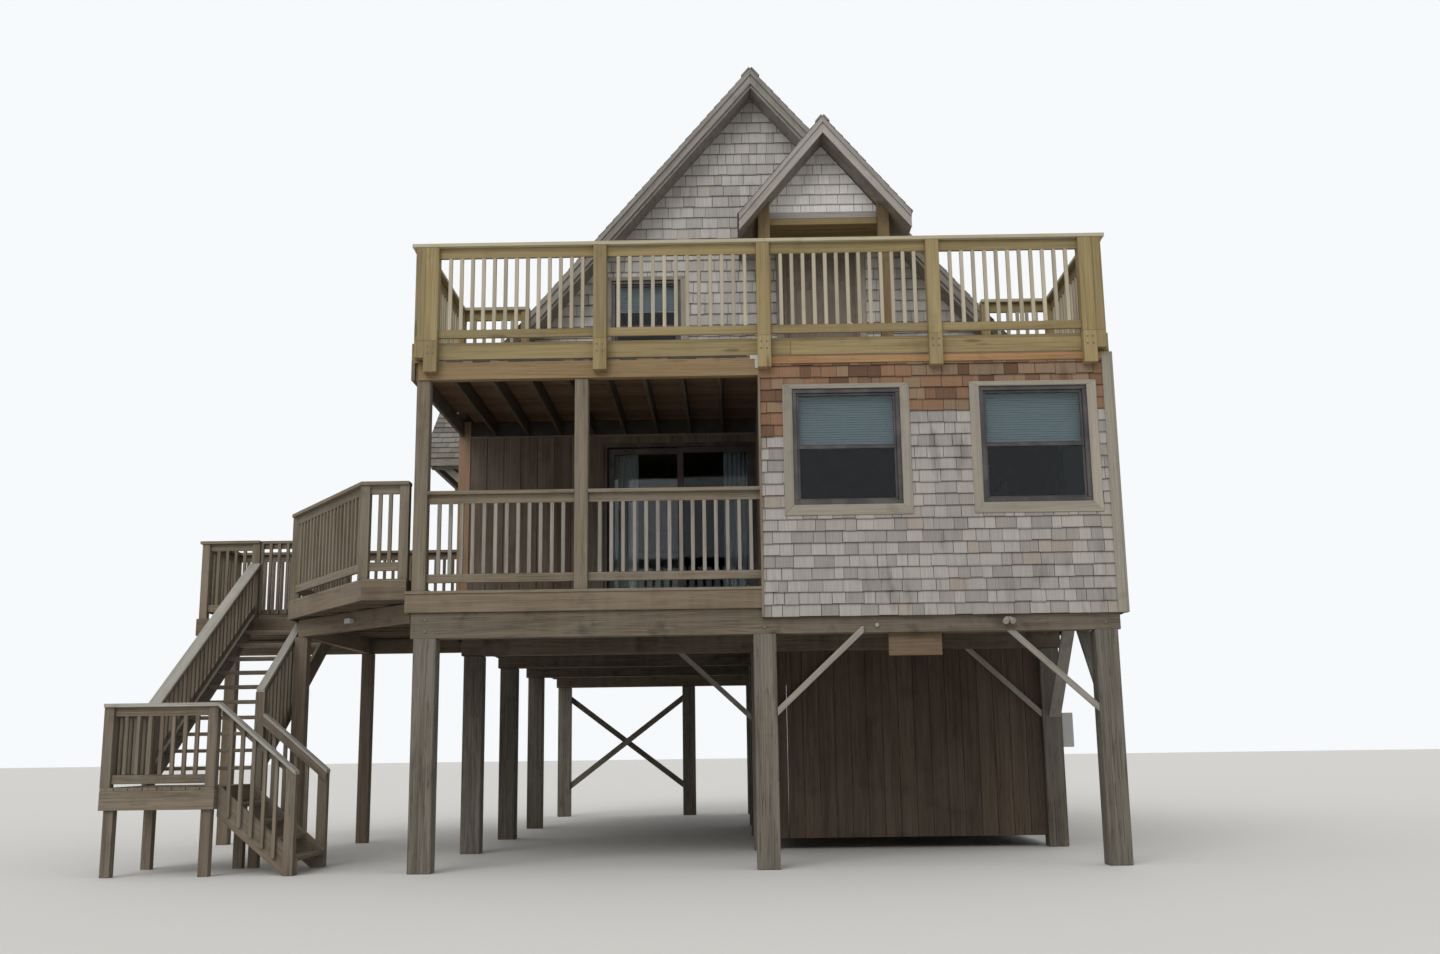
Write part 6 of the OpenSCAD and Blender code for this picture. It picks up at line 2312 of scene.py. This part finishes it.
    def _landing(self) -> None:
        """Boards, rim and legs of the landing."""
        stock, t = Stock("landing_timbers"), PLAN.board_t
        (a, b), (c, d), under = self.flight, self.landing_y, self.landing_z - self.plank_t
        top = Cladding(level(self.landing_z), rectangle(self.flight, self.landing_y))
        top.plank(stock, PLAN.plank_w, PLAN.plank_gap, -self.plank_t)
        z = (under - 0.19, under)
        stock.block((a, b), (c, c + t), z)
        stock.block((a, b), (d - t, d), z)
        stock.block((a, a + t), (c + t, d - t), z)
        stock.block((b - t, b), (c + t, d - t), z)
        inset = t + self.post / 2
        for x in (a + inset, b - inset):
            for y in (c + inset, d - inset):
                stock.post(x, y, (0.0, under), self.post)
        stock.build(self.shop, Look.STAIR, "weathered_wood", "stair_landing")

    def _face_rail(
        self, rails: Stock, line: Fall, x: Span, foot: float, face: float, height: float
    ) -> None:
        """Adds a rail whose balusters stand on the face of a string.

        Args:
            rails: Where its pieces go.
            line: Line of the nosings.
            x: Limits of its top board along the run.
            foot: Where its newel starts along the run.
            face: Where board and balusters meet, out to the side.
            height: Height of the rail over the nosings.
        """
        t, under = PLAN.board_t, height - self.landing_rail.cap_t
        low = 0.02 - self.string_w * hypot(1.0, line.slope) + 0.092
        line.board(rails, x, (face, face + t), under, self.landing_rail.bottom_h)
        top = height - self.landing_rail.cap_t / 2
        line.balusters(rails, (x[0], foot), (face - t, face), top, low)
        line.post(rails, (foot, foot + self.post), self.post / 2, 0.0, under)

    def _stair_rails(self) -> None:
        """Newels and rails of both flights and the landing."""
        rails, caps = stocks("stair_rail_timbers", "stair_rail_caps")
        z, half, t, style = self.landing_z, self.post / 2, PLAN.board_t, self.landing_rail
        left_x, right_x = self.flight[0] + half, self.flight[1] - half
        front_y, left_y, rear_y = self.newel_ys
        at = lambda x, y: vec(x, y, z)
        for x in (left_x, right_x):
            rails.post(x, front_y, (z, z + style.height - style.cap_t), self.post)
        style.panel(rails, at(left_x + half, front_y), at(right_x - half, front_y))
        style.cap(caps, at(left_x - half, front_y), at(right_x + half, front_y))
        style.panel(rails, at(left_x, front_y + half), at(left_x, left_y - half))
        style.cap(caps, at(left_x, front_y + half + 0.025), at(left_x, left_y - half))
        head, board, cap_t = self.head_y, style.bottom_h, style.cap_t
        slope, wide, middle = self.slope, (-0.07, 0.07), (-t / 2, t / 2)

        line = Fall(vec(left_x, head, PLAN.left_z), -Y, slope, X)
        height, foot = self.left_rail_h, head - left_y - half
        under, low = height - cap_t, 0.22 * height
        line.board(caps, (0.0, foot + self.post), wide, height, cap_t)
        for top in (under, low):
            line.board(rails, (0.0, foot), middle, top, board)
        line.balusters(rails, (0.0, foot), middle, under - board / 2, low - board / 2)
        line.board(caps, (0.0, foot - 0.06), (-0.055, 0.025), 0.045, 0.025)
        line.post(rails, (foot, foot + self.post), half, z, under)

        line = Fall(vec(self.flight[1] + half, head, PLAN.left_z), -Y, slope, X)
        height, foot, narrow = self.right_rail_h, head - rear_y - half, 0.0445
        under, end = height - cap_t, foot + self.post
        meet = (height + PLAN.left_z - self.frame_z[0]) / slope
        first = meet - cap_t / slope
        corners = ((first, under), (meet, height), (end, height), (end, under))
        caps.plate([line.at(*c, -narrow) for c in corners], X * 2 * narrow, vec(0, -1, -slope))
        self._face_rail(rails, line, (first, foot), foot, t - half, height)

        end = self.low_rail
        for y, start, inward in ((front_y, 0.0, Y), (rear_y, self.post, -Y)):
            line = Fall(at(self.flight[1], y), X, self.low_slope, inward)
            line.board(caps, (start, end), wide, style.height, cap_t)
            self._face_rail(rails, line, (start, end), end - self.post, half, style.height)
        rails.build(self.shop, Look.STAIR, "weathered_wood", "stair_rails")
        caps.build(self.shop, Look.PALE_CAP, "weathered_wood", "stair_rails")


@dataclass
class Doors(Assembly):
    """Raised panels and knobs on the two plain doors."""

    walls: Walls
    panel_x: float = 0.2
    panel_half: float = 0.14
    panel_zs: tuple[Span, ...] = ((0.18, 0.78), (0.9, 1.45), (1.57, 1.87))
    border: float = 0.02

    def build(self) -> None:
        """Dresses both doors."""
        knobs, walls = Stock("door_knobs"), self.walls
        for name, look, (plane, u, v) in (
            ("entry_door", Look.DOOR, walls.entry), ("upper_door", Look.UPPER_DOOR, walls.upper)
        ):
            panels, half = Stock(f"{name}_panels"), self.panel_half
            for x in (u - self.panel_x, u + self.panel_x):
                for low, high in self.panel_zs:
                    outer, inner = (
                        rectangle(
                            (x - half + b, x + half - b), (v + low + b, v + high - b)
                        ) for b in (0.0, self.border)
                    )
                    panels.slab(
                        [plane.at(*p, -0.034) for p in inner], [plane.at(*p, -0.04) for p in outer],
                        UP
                    )
            centre, axis = plane.at(u + 0.36, v + 0.98, 0.015), plane.right.cross(plane.up)
            knobs.disc(centre, axis, 0.026, 0.03, 16)
            knobs.disc(centre - axis * 0.03, axis, 0.012, 0.03, 12)
            knobs.disc(centre - axis * 0.05, axis, 0.03, 0.006, 16)
            self.shop.dress(name, look, bevel=0.003)
            panels.build(self.shop, look, "door_wood", bevel=0.002)
        knobs.build(self.shop, Look.METAL, "box_grey", bevel=0.004)


# Studio


@dataclass(frozen=True)
class Studio:
    """Camera, floor, world and lamp."""

    scene: Scene
    place: tuple[float, float, float] = (-0.3, -14.32, 1.18)
    lens: float = 35.0
    pitch: float = radians(10.96)
    roll: float = radians(0.77)
    yaw: float = radians(0.53)
    reach: float = 150.0
    sky: Colour = (0.93, 0.95, 0.97)
    light: Colour = (0.97, 0.99, 1.0)
    fill: float = 0.72
    floor: Colour = (0.72, 0.7, 0.67)

    def build(self) -> None:
        """Sets up the view, the floor and the light."""
        self.scene.view_settings.view_transform = "Standard"
        self._camera()
        self._floor()
        self._world()
        self._lamp()

    def _camera(self) -> None:
        """Places the camera as the photograph's view was worked out."""
        c, s = cos(self.yaw), sin(self.yaw)
        cp, sp = cos(self.pitch), sin(self.pitch)
        cr, sr = cos(self.roll), sin(self.roll)
        right = vec(c, s, 0.0)
        forward = vec(-s * cp, c * cp, sp)
        up = vec(s * sp, -c * sp, cp)
        turn = Matrix((right * cr - up * sr, right * sr + up * cr, -forward)).transposed()
        data = bpy.data.cameras.new("view")
        data.lens, data.clip_end = self.lens, 500.0
        camera = bpy.data.objects.new("view", data)
        camera.matrix_world = Matrix.Translation(self.place) @ turn.to_4x4()
        self.scene.collection.objects.link(camera)
        self.scene.camera = camera

    def _floor(self) -> None:
        """A wide pale floor."""
        mesh = bpy.data.meshes.new("floor")
        reach = (-self.reach, self.reach)
        mesh.from_pydata([(*p, 0) for p in rectangle(reach, reach)], [], [(0, 1, 2, 3)])
        material, graph, shader = start_material("floor_paint")
        graph.feed(shader, Base_Color=self.floor, Roughness=0.9, Specular_IOR_Level=0.1)
        mesh.materials.append(material)
        floor = bpy.data.objects.new("floor", mesh)
        self.scene.collection.objects.link(floor)

    def _world(self) -> None:
        """Even light, with a pale sky where the view or a reflection looks straight at it."""
        world = bpy.data.worlds.new("sky")
        world.use_nodes = True
        self.scene.world = world
        graph = Graph(world.node_tree)
        path = graph.add("ShaderNodeLightPath").outputs
        seen = graph.maths("MAXIMUM", path["Is Camera Ray"], path["Is Glossy Ray"])
        seen = graph.maths("MAXIMUM", seen, path["Is Transmission Ray"])
        background = next(n for n in world.node_tree.nodes if n.type == "BACKGROUND")
        light = tuple(self.fill * c for c in self.light)
        graph.feed(background, Color=graph.mix(seen, light, self.sky), Strength=1.0)

    def _lamp(self) -> None:
        """One soft lamp from the upper front left."""
        data = bpy.data.lights.new("key", "SUN")
        data.energy, data.angle = 1.0, radians(35.0)
        lamp = bpy.data.objects.new("key", data)
        lamp.rotation_euler = (radians(54.0), 0.0, radians(-22.0))
        self.scene.collection.objects.link(lamp)


def main() -> None:
    """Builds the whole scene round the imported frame."""
    logging.basicConfig(level=logging.INFO, format="%(name)s: %(message)s")
    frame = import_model()
    Studio(bpy.context.scene).build()
    shop = Workshop(frame)
    windows = Windows(shop)
    walls = Walls(shop, windows)
    UnderHouse(shop).build()
    windows.build()
    walls.build()
    Porch(shop).build()
    RoofDeck(shop).build()
    Roofs(shop).build()
    SideDeck(shop).build()
    Doors(shop, walls).build()
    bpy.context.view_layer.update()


if __name__ == "__main__":
    main()
